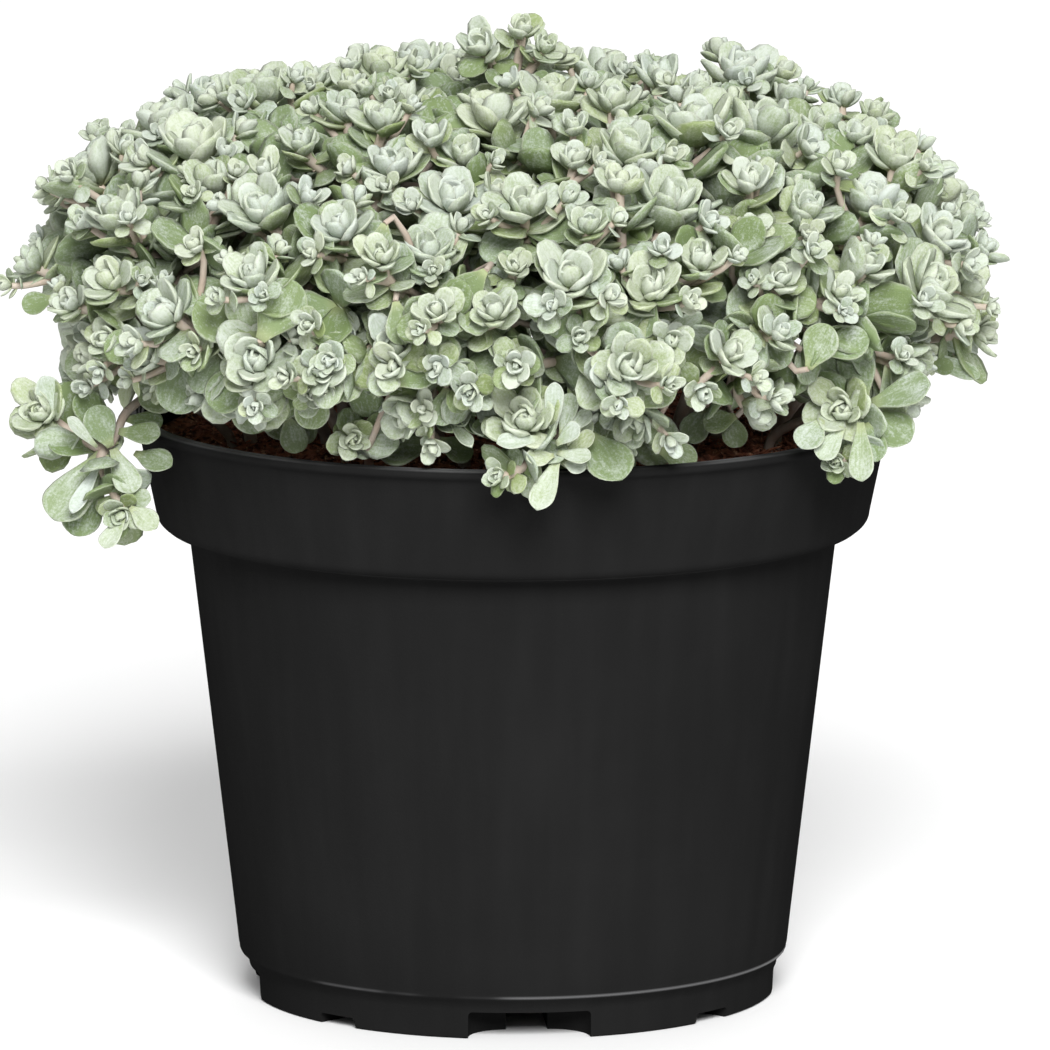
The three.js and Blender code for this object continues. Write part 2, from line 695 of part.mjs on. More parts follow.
function whorl(skin, lower, upper, base, leafShape) {
  skin.walls(lower, upper).forEach((wall, k) => {
    const angle = lower.turn + (2 * Math.PI * (k + 0.5)) / SIDES;
    const outward = lower.u.clone().multiplyScalar(Math.cos(angle))
      .addScaledVector(lower.v, Math.sin(angle));
    skin.leaf(wall, leafPoints(base, lower.axis, outward, leafShape(k)));
  });
}

// A rosette on a neck ring: an outer whorl of five leaves, then an inner whorl or a closed bud.
function growRosette(skin, neck, head) {
  const { axis, radius: size } = head;
  const at = (rise) => head.centre.clone().addScaledVector(axis, rise * size);
  const vary = (k) => 1 - 0.14 * draw(k, head.index);
  const half = neck.turn + Math.PI / SIDES;
  const throat = skin.ring(at(-0.22), axis, 0.25 * size, neck.u, neck.turn);
  whorl(skin, neck, throat, at(-0.34), (k) => ({
    reach: 0.95 * size * vary(k), rise: 0.4 * size, wide: 0.44 * size, sag: 1.4,
  }));
  if (size < SMALL_ROSETTE) {
    skin.cap(throat, at(0.35));
    return;
  }
  const full = (head.lead || size > LARGE_ROSETTE) && head.centre.y < FULL_BEFORE;
  if (!full) {
    const bud = skin.ring(at(0.14), axis, 0.3 * size, neck.u, half);
    skin.join(throat, bud);
    skin.cap(bud, at(0.55));
    return;
  }
  const lower = skin.ring(at(-0.08), axis, 0.24 * size, neck.u, half);
  const upper = skin.ring(at(0.14), axis, 0.2 * size, neck.u, half);
  skin.join(throat, lower);
  whorl(skin, lower, upper, at(0.02), (k) => ({
    reach: 0.58 * size, rise: 0.68 * size * vary(k + 10), wide: 0.3 * size, sag: 1.7,
  }));
  skin.cap(upper, at(0.3));
}

// A stalk drawn out of a wall of the stem, as far as the neck of its rosette. The neck's five
// corners are turned to where they lie closest to the wall's four.
function growStalk(skin, wall, head) {
  const centre = neckOf(head);
  const radius = 0.2 * head.radius;
  const start = crossways(head.axis);
  const [u, v] = [start, head.axis.clone().cross(start)];
  const corners = [...wall.map((id) => skin.points[id]), mm(0, 0, 0)];
  corners[4].copy(corners[0]).lerp(corners[3], 0.5);
  const towardsAt = (angle) => u.clone().multiplyScalar(Math.cos(angle)).addScaledVector(v, Math.sin(angle));
  const misfit = (turn) => corners.reduce((sum, corner, k) => {
    const towards = towardsAt(turn + (2 * Math.PI * k) / SIDES);
    return sum + corner.distanceToSquared(centre.clone().addScaledVector(towards, radius));
  }, 0);
  const turns = Array.from({ length: NECK_TURNS }, (_, k) => (2 * Math.PI * k) / NECK_TURNS);
  const best = turns.reduce((one, other) => (misfit(other) < misfit(one) ? other : one));
  const neck = skin.ring(centre, head.axis, radius, towardsAt(best));
  wall.forEach((id, k) => {
    if (k < 3) skin.plain([id, wall[k + 1], neck.ids[k + 1], neck.ids[k]]);
  });
  skin.face(wall[3], neck.ids[4], neck.ids[3]);
  skin.plain([wall[3], wall[0], neck.ids[0], neck.ids[4]]);
  growRosette(skin, neck, head);
}

// A large old leaf drawn out of a wall of the stem.
function growOldLeaf(skin, wall, { outward, length }) {
  const along = skin.points[wall[1]].clone().sub(skin.points[wall[0]]);
  along.addScaledVector(outward, -along.dot(outward)).normalize();
  const base = skin.centre(wall);
  const place = (share, side) => base.clone()
    .addScaledVector(outward, share * length)
    .addScaledVector(along, side * length);
  skin.leaf(wall, { tip: place(1, 0), left: place(0.76, -0.34), right: place(0.76, 0.34) });
}

// The closed skin of one sprout alone, from the four corners that it starts at.
function sproutAlone(corners, sprout) {
  const skin = new Skin();
  const wall = corners.map((corner) => skin.add(corner));
  skin.plain([wall[0], wall[3], wall[2], wall[1]]);
  sprout.grow(skin, wall);
  return skin;
}

// Four corners inside the stem, square to the way that a sprout goes.
function innerCorners(from, way) {
  const u = crossways(way).multiplyScalar(SPROUT_WIDTH / 2);
  const v = way.clone().cross(u);
  return [[-1, -1], [1, -1], [1, 1], [-1, 1]].map(([a, b]) => (
    from.clone().addScaledVector(u, a).addScaledVector(v, b)));
}

// Gives every stalk and old leaf the free wall that faces its way best and lets it pass clear of the
// rest. One that can't pass clear starts inside the stem and is fused with it.
function growSprouts({ skin, walls, fork, rise }, sprouts) {
  const free = new Set(walls);
  let taken = closedStem(skin, walls).solid();
  const loose = [];
  for (const sprout of sprouts) {
    const ranked = [...free].map((wall) => {
      const away = sprout.towards(skin.centre(wall));
      const normal = skin.normal(wall);
      const square = Math.min(normal.dot(away.clone().normalize()), normal.dot(sprout.facing) + 0.4);
      return { wall, square, score: square - 0.04 * away.length() };
    }).filter(({ square }) => square > LEAST_SQUARE).sort((a, b) => b.score - a.score);
    const fit = ranked.find(({ wall }) => {
      const alone = sproutAlone(wall.map((id) => skin.points[id]), sprout);
      if (crossesItself(alone)) return false;
      const solid = alone.solid();
      if (solid.intersect(taken).volume() > CLEAR_VOLUME) return false;
      taken = taken.add(solid);
      return true;
    });
    if (fit) {
      free.delete(fit.wall);
      sprout.grow(skin, fit.wall);
      continue;
    }
    const tries = LOOSE_STARTS.map((share) => {
      const from = fork.clone().addScaledVector(rise, share);
      return sproutAlone(innerCorners(from, sprout.towards(from).normalize()), sprout);
    });
    const solid = (tries.find((one) => !crossesItself(one)) ?? tries[0]).solid();
    taken = taken.add(solid);
    loose.push(solid);
  }
  for (const wall of free) skin.plain(wall);
  return loose.reduce((solid, alone) => solid.add(alone), skin.solid());
}

// A copy of a stem's skin with its bearing walls closed.
function closedStem(skin, walls) {
  const copy = new Skin();
  copy.points = skin.points;
  copy.triangles = [...skin.triangles];
  for (const wall of walls) copy.plain(wall);
  return copy;
}

// A shoot's stem with the rosette it leads to. Its old leaves reach as far as the share given.
function stemSkin(shoot, lead, share) {
  const surface = soilHeight(shoot.root.x, shoot.root.y);
  const foot = mm(shoot.root.x, shoot.root.y, surface - HOLE_DEPTH + SOIL_GAP + 0.1);
  const ground = mm(shoot.root.x, shoot.root.y, surface + 2);
  const neckPoint = neckOf(lead);
  const line = [{ point: foot }, { point: ground }];
  for (const point of shoot.stem) line.push({ point });
  if (shoot.collar && share > 0) line.splice(-1, 0, { point: shoot.collar, leafy: true });

  // Short bands near the fork, and at the other nodes of a shoot with old leaves, bear the sprouts.
  const fork = shoot.stem.at(-1);
  const rise = neckPoint.clone().sub(fork);
  const bands = Math.ceil((shoot.heads.length - 1 + (shoot.collar ? 0 : shoot.old.length)) / 3);
  for (let band = 0; band < bands; band += 1) {
    const low = 0.2 + (0.62 * band) / bands;
    const high = Math.min(low + 0.4 / bands, low + NODE_LENGTH / rise.length());
    line.push({ point: fork.clone().addScaledVector(rise, low), bearing: true });
    line.push({ point: fork.clone().addScaledVector(rise, high) });
  }
  line.push({ point: neckPoint });

  const skin = new Skin();
  const walls = [];
  let below = null;
  line.forEach(({ point }, i) => {
    const last = i === line.length - 1;
    const before = line[Math.max(i - 1, 0)].point;
    const axis = last ? lead.axis : line[i + 1].point.clone().sub(before).normalize();
    const radius = last ? 0.2 * lead.radius : STEM_RADIUS - 0.04 * i;
    const towards = below ? below.u : crossways(axis);
    const ring = skin.ring(point, axis, radius, towards);
    if (!below) {
      const start = skin.add(point);
      ring.ids.forEach((id, k) => skin.face(start, ring.ids[(k + 1) % SIDES], id));
    } else if (line[i - 1].leafy) {
      whorl(skin, below, ring, below.centre, (k) => collarLeaf(shoot, k, share));
    } else if (line[i - 1].bearing) {
      walls.push(...skin.walls(below, ring));
    } else {
      skin.join(below, ring);
    }
    below = ring;
  });
  growRosette(skin, below, lead);
  return { skin, walls, fork, rise, lead };
}

function shootSolid(shoot, pot) {
  const stems = shoot.heads.slice(0, 4).flatMap((lead) => (
    COLLAR_SHARES.map((share) => stemSkin(shoot, lead, share))));
  const clear = stems.findIndex(({ skin, walls }) => {
    const closed = closedStem(skin, walls);
    return !crossesItself(closed) && closed.solid().intersect(pot).volume() < CLEAR_VOLUME;
  });
  const stem = stems.at(clear);
  return growSprouts(stem, [
    ...shoot.old.map((leaf) => ({
      facing: leaf.outward,
      towards: () => leaf.outward.clone(),
      grow: (onto, wall) => growOldLeaf(onto, wall, leaf),
    })),
    ...shoot.heads.filter((head) => head !== stem.lead).map((head) => ({
      facing: head.axis,
      towards: (start) => neckOf(head).sub(start),
      grow: (onto, wall) => growStalk(onto, wall, head),
    })),
  ]);
}

// One of the old leaves that stand round a stem below its fork.
function collarLeaf(shoot, k, share) {
  const salt = shoot.heads[0].index;
  const reach = share * shoot.reach * (1 - 0.16 * draw(k, salt + 40));
  return { reach, rise: 0.25 * reach + spread(k, salt + 50, 0.8), wide: 0.38 * reach, sag: 1.2 };
}

// Assembly

const material = (color, roughness) => new THREE.MeshStandardMaterial({ color, roughness, metalness: 0 });
const blackPlastic = material(0x232324, 0.5);
const peat = material(0x3a221a, 0.95);
const powderyLeaf = material(0xb4c4b0, 0.85);

const plant = plantPlan();
const pottedStonecrop = new THREE.Group();
const addPart = (name, solid, finish) => {
  const mesh = new THREE.Mesh(geometryFromSolid(solid), finish);
  mesh.name = name;
  pottedStonecrop.add(mesh);
};

const pot = potSolid();
addPart('pot', pot, blackPlastic);
addPart('soil', soilSolid(plant), peat);
for (const shoot of plant) addPart(shoot.name, shootSolid(shoot, pot), powderyLeaf);

export default pottedStonecrop;
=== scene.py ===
"""Cape Blanco stonecrop in a black nursery pot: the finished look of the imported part.

Lengths in the tables are millimetres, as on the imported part; meshes are made in metres.
"""
import json
import math

import bmesh
import bpy
import numpy as np
from mathutils import Matrix, Vector, noise

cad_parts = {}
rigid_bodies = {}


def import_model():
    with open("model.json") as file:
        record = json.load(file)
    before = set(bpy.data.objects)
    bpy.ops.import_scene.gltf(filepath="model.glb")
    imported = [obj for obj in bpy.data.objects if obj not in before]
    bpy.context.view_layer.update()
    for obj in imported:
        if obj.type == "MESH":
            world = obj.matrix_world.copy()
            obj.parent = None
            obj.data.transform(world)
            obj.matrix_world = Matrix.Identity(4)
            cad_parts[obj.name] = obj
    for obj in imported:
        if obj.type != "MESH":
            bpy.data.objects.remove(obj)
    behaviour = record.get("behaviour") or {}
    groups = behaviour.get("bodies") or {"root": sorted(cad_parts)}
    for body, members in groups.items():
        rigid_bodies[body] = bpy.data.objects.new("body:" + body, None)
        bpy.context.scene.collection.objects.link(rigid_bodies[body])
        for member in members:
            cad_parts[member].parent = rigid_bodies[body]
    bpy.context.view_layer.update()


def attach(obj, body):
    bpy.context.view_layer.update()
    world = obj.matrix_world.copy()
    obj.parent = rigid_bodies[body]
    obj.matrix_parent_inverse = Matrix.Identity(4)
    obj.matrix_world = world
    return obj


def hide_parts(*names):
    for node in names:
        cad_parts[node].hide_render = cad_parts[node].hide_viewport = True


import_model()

bl_info = {
    "name": "Potted Stonecrop",
    "version": (1, 0, 0),
    "blender": (4, 5, 0),
    "location": "3D View > Sidebar > Stonecrop",
    "description": "Dresses a potted Cape Blanco stonecrop: leaves, stems, peat, pot and studio",
    "category": "Add Mesh",
}

MM = 0.001
GOLDEN = math.pi * (3 - math.sqrt(5))

# Pot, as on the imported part
POT_HEIGHT = 92.0
RIM_RADIUS = 60.0
COLLAR_TOP_RADIUS = 58.7
COLLAR_FOOT_RADIUS = 55.7
COLLAR_FOOT_HEIGHT = 74.2
BODY_TOP_RADIUS = 50.8
BODY_FOOT_RADIUS = 43.0
BODY_FOOT_HEIGHT = 6.9
FOOT_RADIUS = 41.3
WALL = 1.2
BEAD_HEIGHT = 2.2
FLOOR_UNDERSIDE = 4.3
FLOOR_TOP = 5.6
NOTCH_TURN = math.radians(3.7)
NOTCH_MOUTH = 19.0
CHANNEL_WIDTH = 6.4
CHANNEL_CORNER = 6.3
RECESS_WIDTH = 7.2
RECESS_HEIGHT = 1.7
CENTRE_PAD_RADIUS = 7.5
CENTRE_RING_RADIUS = 12.0
DRAIN_RADIUS = 2.6
DRAIN_REACH = 27.0

# Peat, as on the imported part
SOIL_GAP = 0.3
SOIL_EDGE_HEIGHT = 87.4
SOIL_CROWN = 2.2
SOIL_ROUGHNESS = 0.9

# Mound and shoots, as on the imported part
MOUND_CENTRE = 113.0
MOUND_REACH = 72.5
MOUND_RISE = 31.0
MOUND_DROP = 21.0
MOUND_POWER = 2.45
MOUND_LAST_ANGLE = math.radians(105)
FILL_SIZES = (9, 7.2, 5.6)
FILL_TRIES = 260
SHOOTS = 33
ROOT_REACH = 45.0
SETTLING_PASSES = 30
CROWDING = 0.9
FORK_DEPTH = 12.0
FORK_SLOPE = 0.0
FORK_LOWEST = 97.0
COLLAR_LEAF = 13.5
COLLAR_DROP = 4.5
FULLNESS = 1.25
LEAST_FACING = 0.5
BODY_GAP = 0.35
STEM_RADIUS = 1.25
STALK_RADIUS = 0.8
SIGHT_SLOPE = math.radians(9.8)
SIGHT_HEIGHT = 45.0
SIGHT = np.array([0, math.cos(SIGHT_SLOPE), -math.sin(SIGHT_SLOPE)])

# Rosettes seen from the front: how far across, how high above the middle of the pot, and radius
SEEN_ROSETTES = [
    (-75.5, 69.2, 4.1), (-68.5, 82.4, 4.7), (-65.5, 89.9, 3.1), (-54.4, 91.8, 5.6), (-47.1, 95.9, 5.6),
    (-38.8, 97.7, 4.4), (-31.7, 98.2, 3.8), (-38.3, 76.6, 6.3), (-32.3, 86.8, 3.8), (-60.7, 76.1, 5.6),
    (-26.2, 73.5, 5), (-61.8, 65.6, 4.4), (-68.5, 62.5, 3.8), (-52.8, 60.5, 5.3), (-56, 53.9, 4.1),
    (-38.8, 53.1, 5.9), (-62.6, 56.7, 3.8), (-25.1, 57, 3.8), (-30.2, 47.7, 2.8), (-15.3, 101.2, 5.6),
    (-25.5, 92.3, 4.4), (-20, 90.7, 4.4), (-18.4, 83.3, 5.3), (-2.8, 91.2, 5.6), (-7.5, 84.9, 4.4),
    (-9, 77.9, 6.3), (1.9, 76.6, 6.9), (5.8, 94.9, 5.6), (15.5, 93.8, 4.4), (9.3, 84.1, 3.8),
    (17.6, 86, 6.3), (16.3, 80.2, 4.1), (8.2, 77.9, 4.4), (11.3, 73.5, 4.1), (-12.9, 69.9, 5.6),
    (-20, 68.8, 4.1), (-17.6, 55.5, 5.9), (-11.4, 60.5, 5.6), (-2.8, 60.2, 6.9), (0.4, 67.2, 3.8),
    (8.7, 65.6, 6.9), (10.5, 57, 4.7), (20.7, 64.1, 6.9), (0.4, 52.7, 5), (-6.4, 48.4, 4.4),
    (17.6, 52, 6.6), (-25.5, 97.4, 3.4), (23.1, 98.7, 5), (35.9, 100.2, 5.9), (42.6, 100.2, 3.4),
    (28.1, 90.2, 6.6), (38.7, 90.2, 6.6), (29.3, 96.2, 4.4), (43.4, 94.9, 4.4), (52, 95.5, 3.4),
    (57.2, 93, 3.4), (48.1, 90.7, 4.7), (53.6, 88.8, 3.8), (59, 85.2, 5), (64.5, 84.3, 4.4),
    (36.4, 80.8, 6.6), (45.3, 76.6, 6.9), (55.1, 78.2, 5.6), (24.3, 77.7, 6.9), (36.4, 73.9, 4.4),
    (28.5, 68.3, 6.3), (40.6, 65.6, 6.6), (54.4, 68, 5.6), (50, 63.8, 5.3), (66.1, 73, 5),
    (70.8, 76.8, 3.8), (64.5, 64.9, 6.3), (70.8, 65.6, 4.4), (73.9, 71.4, 3.4), (23.8, 56.3, 4.1),
    (33.2, 54.2, 7.5), (40.6, 57.4, 5.6),
]

# Small side rosettes seen between the others, given the same way
SEEN_OFFSETS = [
    (-61.1, 89.3, 3.1), (-66.2, 74.9, 3.4), (-48.6, 54.5, 3.1), (-48.2, 70.8, 3.4), (-30.9, 58.3, 3.1),
    (-27.8, 52.7, 2.8), (11.8, 97.1, 3.1), (9.3, 89.1, 3.4), (45.7, 69.9, 3.1), (22.7, 69.9, 3.1),
    (-37.7, 82.4, 3.8), (50.4, 83.3, 3.8), (-12.6, 87.6, 3.8),
    (-23.9, 40.9, 3.2), (-6.4, 48.1, 3.4), (0.5, 52.0, 3.6), (-27.5, 53.1, 3.0), (-28.6, 48.4, 2.7),
    (-18.1, 52.0, 4.4), (10.1, 56.3, 3.1), (15.5, 50.5, 4.6), (24.1, 55.9, 4.0), (28.8, 48.1, 3.4),
    (-11.4, 52.0, 3.2),
]

# Large old leaves seen between the rosettes: across, seen height, half width, and the bearing of
# the tip in the picture, in degrees from level right
SEEN_OLD_LEAVES = [
    (-40.3, 61.0, 3.1, 100), (-45.0, 59.4, 3.9, 150), (-34.9, 61.7, 3.9, 60), (-54.4, 48.4, 3.4, 200),
    (-50.5, 48.9, 3.8, 250), (-43.1, 48.2, 3.4, 240), (-39.9, 45.4, 3.3, 285), (-35.9, 44.2, 3.2, 300),
    (-30.4, 45.4, 2.7, 265), (-32.3, 42.6, 2.2, 290), (-66.2, 52.7, 3.1, 200), (-17.6, 39.5, 3.1, 190),
    (-20.0, 43.0, 2.3, 60), (14.8, 38.3, 3.9, 300), (21.5, 41.4, 4.2, 320), (25.9, 38.3, 2.3, 340),
    (9.0, 37.2, 2.7, 300), (47.3, 55.9, 2.8, 60), (51.5, 55.9, 2.8, 20), (-74.6, 62.5, 1.9, 200),
    (66.9, 52.7, 1.4, 335), (-10.6, 45.3, 2.2, 260), (-8.2, 39.5, 2.2, 330), (4.6, 38.3, 2.5, 250),
    (34.0, 41.9, 2.0, 280), (31.2, 43.7, 2.0, 200), (22.3, 48.4, 2.7, 30), (27.7, 43.0, 2.3, 240),
    (12.1, 43.0, 2.5, 290), (-13.7, 50.8, 2.5, 20), (-27.0, 48.4, 2.2, 240), (-33.3, 41.4, 2.2, 290),
    (-59.9, 55.5, 2.8, 210), (-6.7, 63.3, 2.5, 230), (-16.9, 57.8, 2.5, 280), (19.9, 58.6, 2.5, 250),
    (7.4, 58.6, 2.5, 250), (-20.0, 69.6, 2.5, 260),
]

# Leaves of the free shoots as they are seen: foot across and seen height, tip across and seen
# height, half width, how far back the foot and the tip are, age and warmth of colour
PLACED_LEAVES = {
    "left_trailer": [
        (-63.3, 39.0, -70.2, 28.2, 3.9, -27, -30, 0.62, 0.2),
        (-63.8, 38.7, -68.3, 26.5, 3.3, -25, -27, 0.8, 0),
        (-63.5, 37.6, -67.7, 29.5, 1.3, -31, -34, 0.15, 0),
        (-61.3, 40.3, -66.8, 48.9, 2.5, -26, -25, 0.85, 0),
        (-61.9, 40.1, -64.9, 46.4, 2.7, -29, -28, 0.7, 0),
        (-60.7, 42.5, -53.9, 41.7, 2.0, -28, -30, 0.75, 0.2),
        (-59.9, 44.5, -53.9, 43.9, 1.7, -24, -24, 0.9, 0),
        (-58.3, 39.2, -52.5, 36.2, 2.2, -27, -30, 0.7, 0.1),
        (-61.5, 39.8, -58.2, 32.6, 2.3, -30, -33, 0.5, 0.3),
        (-62.4, 38.9, -62.1, 34.2, 0.9, -29, -31, 0.3, 1),
        (-63.8, 39.8, -72.1, 40.1, 2.0, -25, -27, 0.85, 0),
        (-64.0, 40.1, -68.7, 44.8, 1.1, -30, -31, 0.3, 0.3),
        (-58.8, 30.8, -54.3, 27.6, 1.9, -35, -37, 0.45, 0.6),
        (-59.7, 29.5, -62.1, 24.0, 1.7, -36, -38, 0.4, 0.5),
        (-59.4, 32.0, -55.5, 32.3, 1.7, -33, -34, 0.6, 0.3),
        (-70.5, 44.8, -72.7, 51.1, 2.2, -24, -24, 0.3, 0.1),
    ],
    "front_trailer": [
        (6.8, 38.1, 3.8, 29.8, 2.0, -66, -70, 0.35, 0.5),
        (6.3, 38.6, 1.8, 37.9, 1.6, -67, -69, 0.3, 0.9),
        (7.7, 37.6, 11.0, 36.1, 1.4, -65, -66, 0.15, 0.3),
        (11.5, 42.0, 16.3, 34.4, 3.9, -62, -66, 0.75, 0.1),
        (7.4, 40.1, 12.1, 43.9, 1.9, -62, -61, 0.4, 0.6),
        (6.8, 39.0, 12.1, 37.9, 1.4, -66, -68, 0.3, 0.4), (4.3, 41.2, -2.6, 39.7, 1.4, -68, -72, 0.25, 0.2),
        (6.0, 41.5, 7.0, 50.0, 1.5, -66, -66, 0.2, 0.1), (7.4, 41.5, 9.0, 48.1, 1.6, -64, -63, 0.55, 0.2),
        (8.0, 42.0, 12.1, 45.2, 1.3, -64, -64, 0.4, 0.3), (6.6, 40.3, 10.5, 43.1, 1.5, -67, -68, 0.3, 0.2),
        (7.7, 38.7, 12.9, 41.4, 1.5, -65, -66, 0.45, 1.0),
        (-5.9, 43.4, -7.9, 49.9, 1.1, -55, -56, 0.8, 0.1), (-6.6, 43.9, -4.3, 40.7, 1.0, -58, -63, 0.45, 0.2),
        (-1.2, 41.4, -6.2, 42.5, 1.5, -56, -61, 0.8, 0.1), (-5.4, 48.0, -3.0, 43.2, 1.6, -55, -60, 0.4, 0.1),
        (-2.4, 47.4, -6.8, 44.6, 1.6, -54, -58, 0.6, 0.1), (0.2, 46.2, -2.4, 41.9, 1.5, -55, -60, 0.65, 0.2),
        (-9.4, 43.9, -5.6, 38.9, 1.0, -58, -65, 0.45, 0.3), (-9.8, 47.6, -6.8, 42.4, 1.8, -54, -60, 0.6, 0.1),
        (-11.6, 46.2, -9.2, 41.4, 1.7, -54, -60, 0.7, 0.1), (-3.8, 42.0, -8.6, 43.6, 1.7, -55, -60, 0.8, 0.1),
    ],
    "right_trailer": [
        (54.0, 47.3, 52.0, 55.5, 3.1, -39, -36, 0.7, 0.1),
        (54.7, 46.6, 64.5, 49.5, 2.8, -40, -42, 0.65, 0.1),
        (55.3, 45.3, 61.1, 40.9, 3.1, -38, -41, 0.75, 0.1),
        (54.0, 43.7, 55.9, 37.6, 2.3, -42, -44, 0.8, 0),
        (53.1, 43.7, 53.1, 34.4, 2.0, -47, -50, 0.55, 0.3),
        (47.3, 44.2, 43.9, 39.5, 2.5, -46, -48, 0.5, 0.1),
        (50.9, 50.8, 45.9, 56.1, 2.8, -38, -37, 0.6, 0.1),
        (50.4, 43.0, 46.8, 37.9, 1.9, -46, -48, 0.4, 0.3),
    ],
    "crown": [
        (-0.4, 96.0, -4.6, 98.4, 1.3, 2, 0, 0.7, 0.2), (0.2, 96.0, 6.2, 97.8, 1.3, 2, 0, 0.7, 0.2),
    ],
    "right_reacher": [
        (61.9, 55.3, 72.5, 50.3, 1.1, -6, -8, 0.6, 0.1),
        (66.1, 55.9, 61.4, 58.6, 1.4, -4, -3, 0.5, 0.2), (64.1, 55.5, 68.4, 53.9, 1.3, -2, -1, 0.85, 0),
    ],
}

# Openings under the leaves where the peat is seen: from and to across, and seen height below which
# no leaf tip hangs
PEAT_WINDOWS = [(-54.4, -43.5, 44.2), (-43.5, -34.9, 41.4), (-34.9, -26.5, 39.5), (27.7, 45.0, 43.0)]

# Layers in which hollows between the leaves are looked for: depth under the mound's surface, how far
# from every leaf a hollow's middle lies, and number of places that are tried
HOLLOWS = [(5.0, 4.3, 1700), (12.0, 5.6, 900)]

# Shoots that don't follow the mound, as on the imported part: where the stem leaves the peat, its
# knots, and for each rosette its place, the way it faces and its radius
FREE_SHOOTS = [
    ("left_trailer", (-44, -14), [(-54, -19, 97.5), (-59.5, -24, 95.5), (-63.5, -26.5, 92.5)],
     [((-75, -24, 95.5), (-0.7, -0.55, 0.45), 6), ((-61, -36, 80.5), (-0.1, -0.8, -0.5), 4.2)]),
    ("front_trailer", (5, -45), [(6, -53, 95), (6.5, -61, 96)],
     [((3, -66, 103.5), (0, -0.75, 0.65), 7.2), ((-4, -68, 92.5), (-0.75, -0.6, -0.2), 3.6)]),
    ("right_trailer", (40, -21), [(48, -28, 95.5), (53.5, -35, 96.5)],
     [((50, -43.5, 100.5), (-0.2, -0.8, 0.5), 6), ((50, -45, 90.5), (-0.2, -0.85, -0.3), 3.6)]),
    ("right_reacher", (44, 2), [(54, 0, 98), (61.5, -4, 103)],
     [((73.5, -7, 105), (0.9, -0.35, 0.1), 4.8)]),
    ("front_bud", (-22, -41), [(-23.5, -46, 94)], [((-24, -51, 97), (-0.1, -0.75, 0.6), 4.2)]),
    ("crown", (0, 2), [(0, 3, 112), (-0.5, 4, 139)],
     [((1.5, 3, 151), (0.05, -0.2, 1), 4.4), ((-5, 2, 147.5), (-0.55, -0.35, 0.75), 4),
      ((6, 2, 147.5), (0.5, -0.4, 0.75), 4)]),
]

# How some of their rosettes and forks are seen to differ: number of the rosette, or None for the
# fork, its shift, the way that it faces and how much larger it is
SEEN_FORMS = {
    "left_trailer": [(None, (0.6, 0, -2.4), None, 1), (300, (2.0, -0.5, 0.2), (-0.45, -0.75, 0.4), 1.05),
                     (301, (0.8, 0, 0.6), (-0.1, -0.85, -0.2), 0.9)],
    "front_trailer": [(300, (-1.2, -1.0, -2.2), (-0.1, -0.8, 0.55), 1.45),
                      (301, (1.6, 0, 0.2), (-0.6, -0.75, 0.2), 0.85)],
    "right_trailer": [(300, (0.2, -0.5, -1.4), (-0.2, -0.9, 0.3), 1.05),
                      (301, (-0.5, 0, 0.4), (-0.3, -0.85, 0.1), 0.9)],
    "crown": [(300, (0, 0, 0.6), (0.05, -0.45, 0.9), 1.35), (301, (0, -0.5, 1.6), (-0.4, -0.55, 0.75), 1.4),
              (302, (-0.9, -0.5, 1.4), (0.35, -0.6, 0.75), 1.35)],
    "front_bud": [(300, (-0.2, -0.4, -1.4), (0.1, -0.95, 0.15), 1.0)],
}


def draw(index, salt):
    """A number from 0 to 1 that is always the same for the same pair."""
    wave = math.sin(index * 12.9898 + salt * 78.233) * 43758.5453
    return wave - math.floor(wave)


def spread(index, salt, reach):
    return (2 * draw(index, salt) - 1) * reach


def vec(*numbers):
    return np.array(numbers, dtype=float)


def unit(v):
    return v / math.sqrt(v @ v)


def length(v):
    return math.sqrt(v @ v)


def clamp(value, low, high):
    return max(low, min(high, value))


def square_to(axis):
    away = vec(0, 0, 1) if abs(axis[2]) < 0.9 else vec(1, 0, 0)
    u = unit(np.cross(away, axis))
    return u, np.cross(axis, u)


def spoke(u, v, turn):
    """The way out at an angle round an axis, from two directions square to it."""
    return u * math.cos(turn) + v * math.sin(turn)


def leaned(out, axis, lean):
    """The way that a leaf points when it leans out from an axis, and the way its upper side faces."""
    return out * math.sin(lean) + axis * math.cos(lean), -out * math.cos(lean) + axis * math.sin(lean)


# Plan of the plant

class Head:
    """One leaf rosette: where it is, the way it faces and how large it is."""

    def __init__(self, index, centre, axis, radius):
        self.index = index
        self.centre = centre
        self.axis = axis
        self.radius = radius
        self.depth = 0.0

    def neck(self):
        return self.centre - 0.5 * self.radius * self.axis


class Shoot:
    """One stem with everything that grows on it."""

    def __init__(self, name=""):
        self.name = name
        self.root = None
        self.stem = []
        self.heads = []
        self.collar = None
        self.reach = 0.0
        self.share = 0.0


def mound_rise(up):
    return MOUND_RISE if up > 0 else MOUND_DROP


def mound_outline(angle):
    across = abs(math.sin(angle) / MOUND_REACH) ** MOUND_POWER
    along = abs(math.cos(angle) / mound_rise(math.cos(angle))) ** MOUND_POWER
    reach = (across + along) ** (-1 / MOUND_POWER)
    return reach * math.sin(angle), MOUND_CENTRE + reach * math.cos(angle)


def mound_level(point):
    across = (math.hypot(point[0], point[1]) / MOUND_REACH) ** MOUND_POWER
    up = point[2] - MOUND_CENTRE
    return (across + (abs(up) / mound_rise(up)) ** MOUND_POWER) ** (1 / MOUND_POWER)


def mound_facing(point):
    r = math.hypot(point[0], point[1])
    up = point[2] - MOUND_CENTRE
    outward = (r / MOUND_REACH) ** (MOUND_POWER - 1) / MOUND_REACH
    upward = (abs(up) / mound_rise(up)) ** (MOUND_POWER - 1) / mound_rise(up)
    return unit(vec(outward * point[0] / r, outward * point[1] / r, math.copysign(upward, up)))


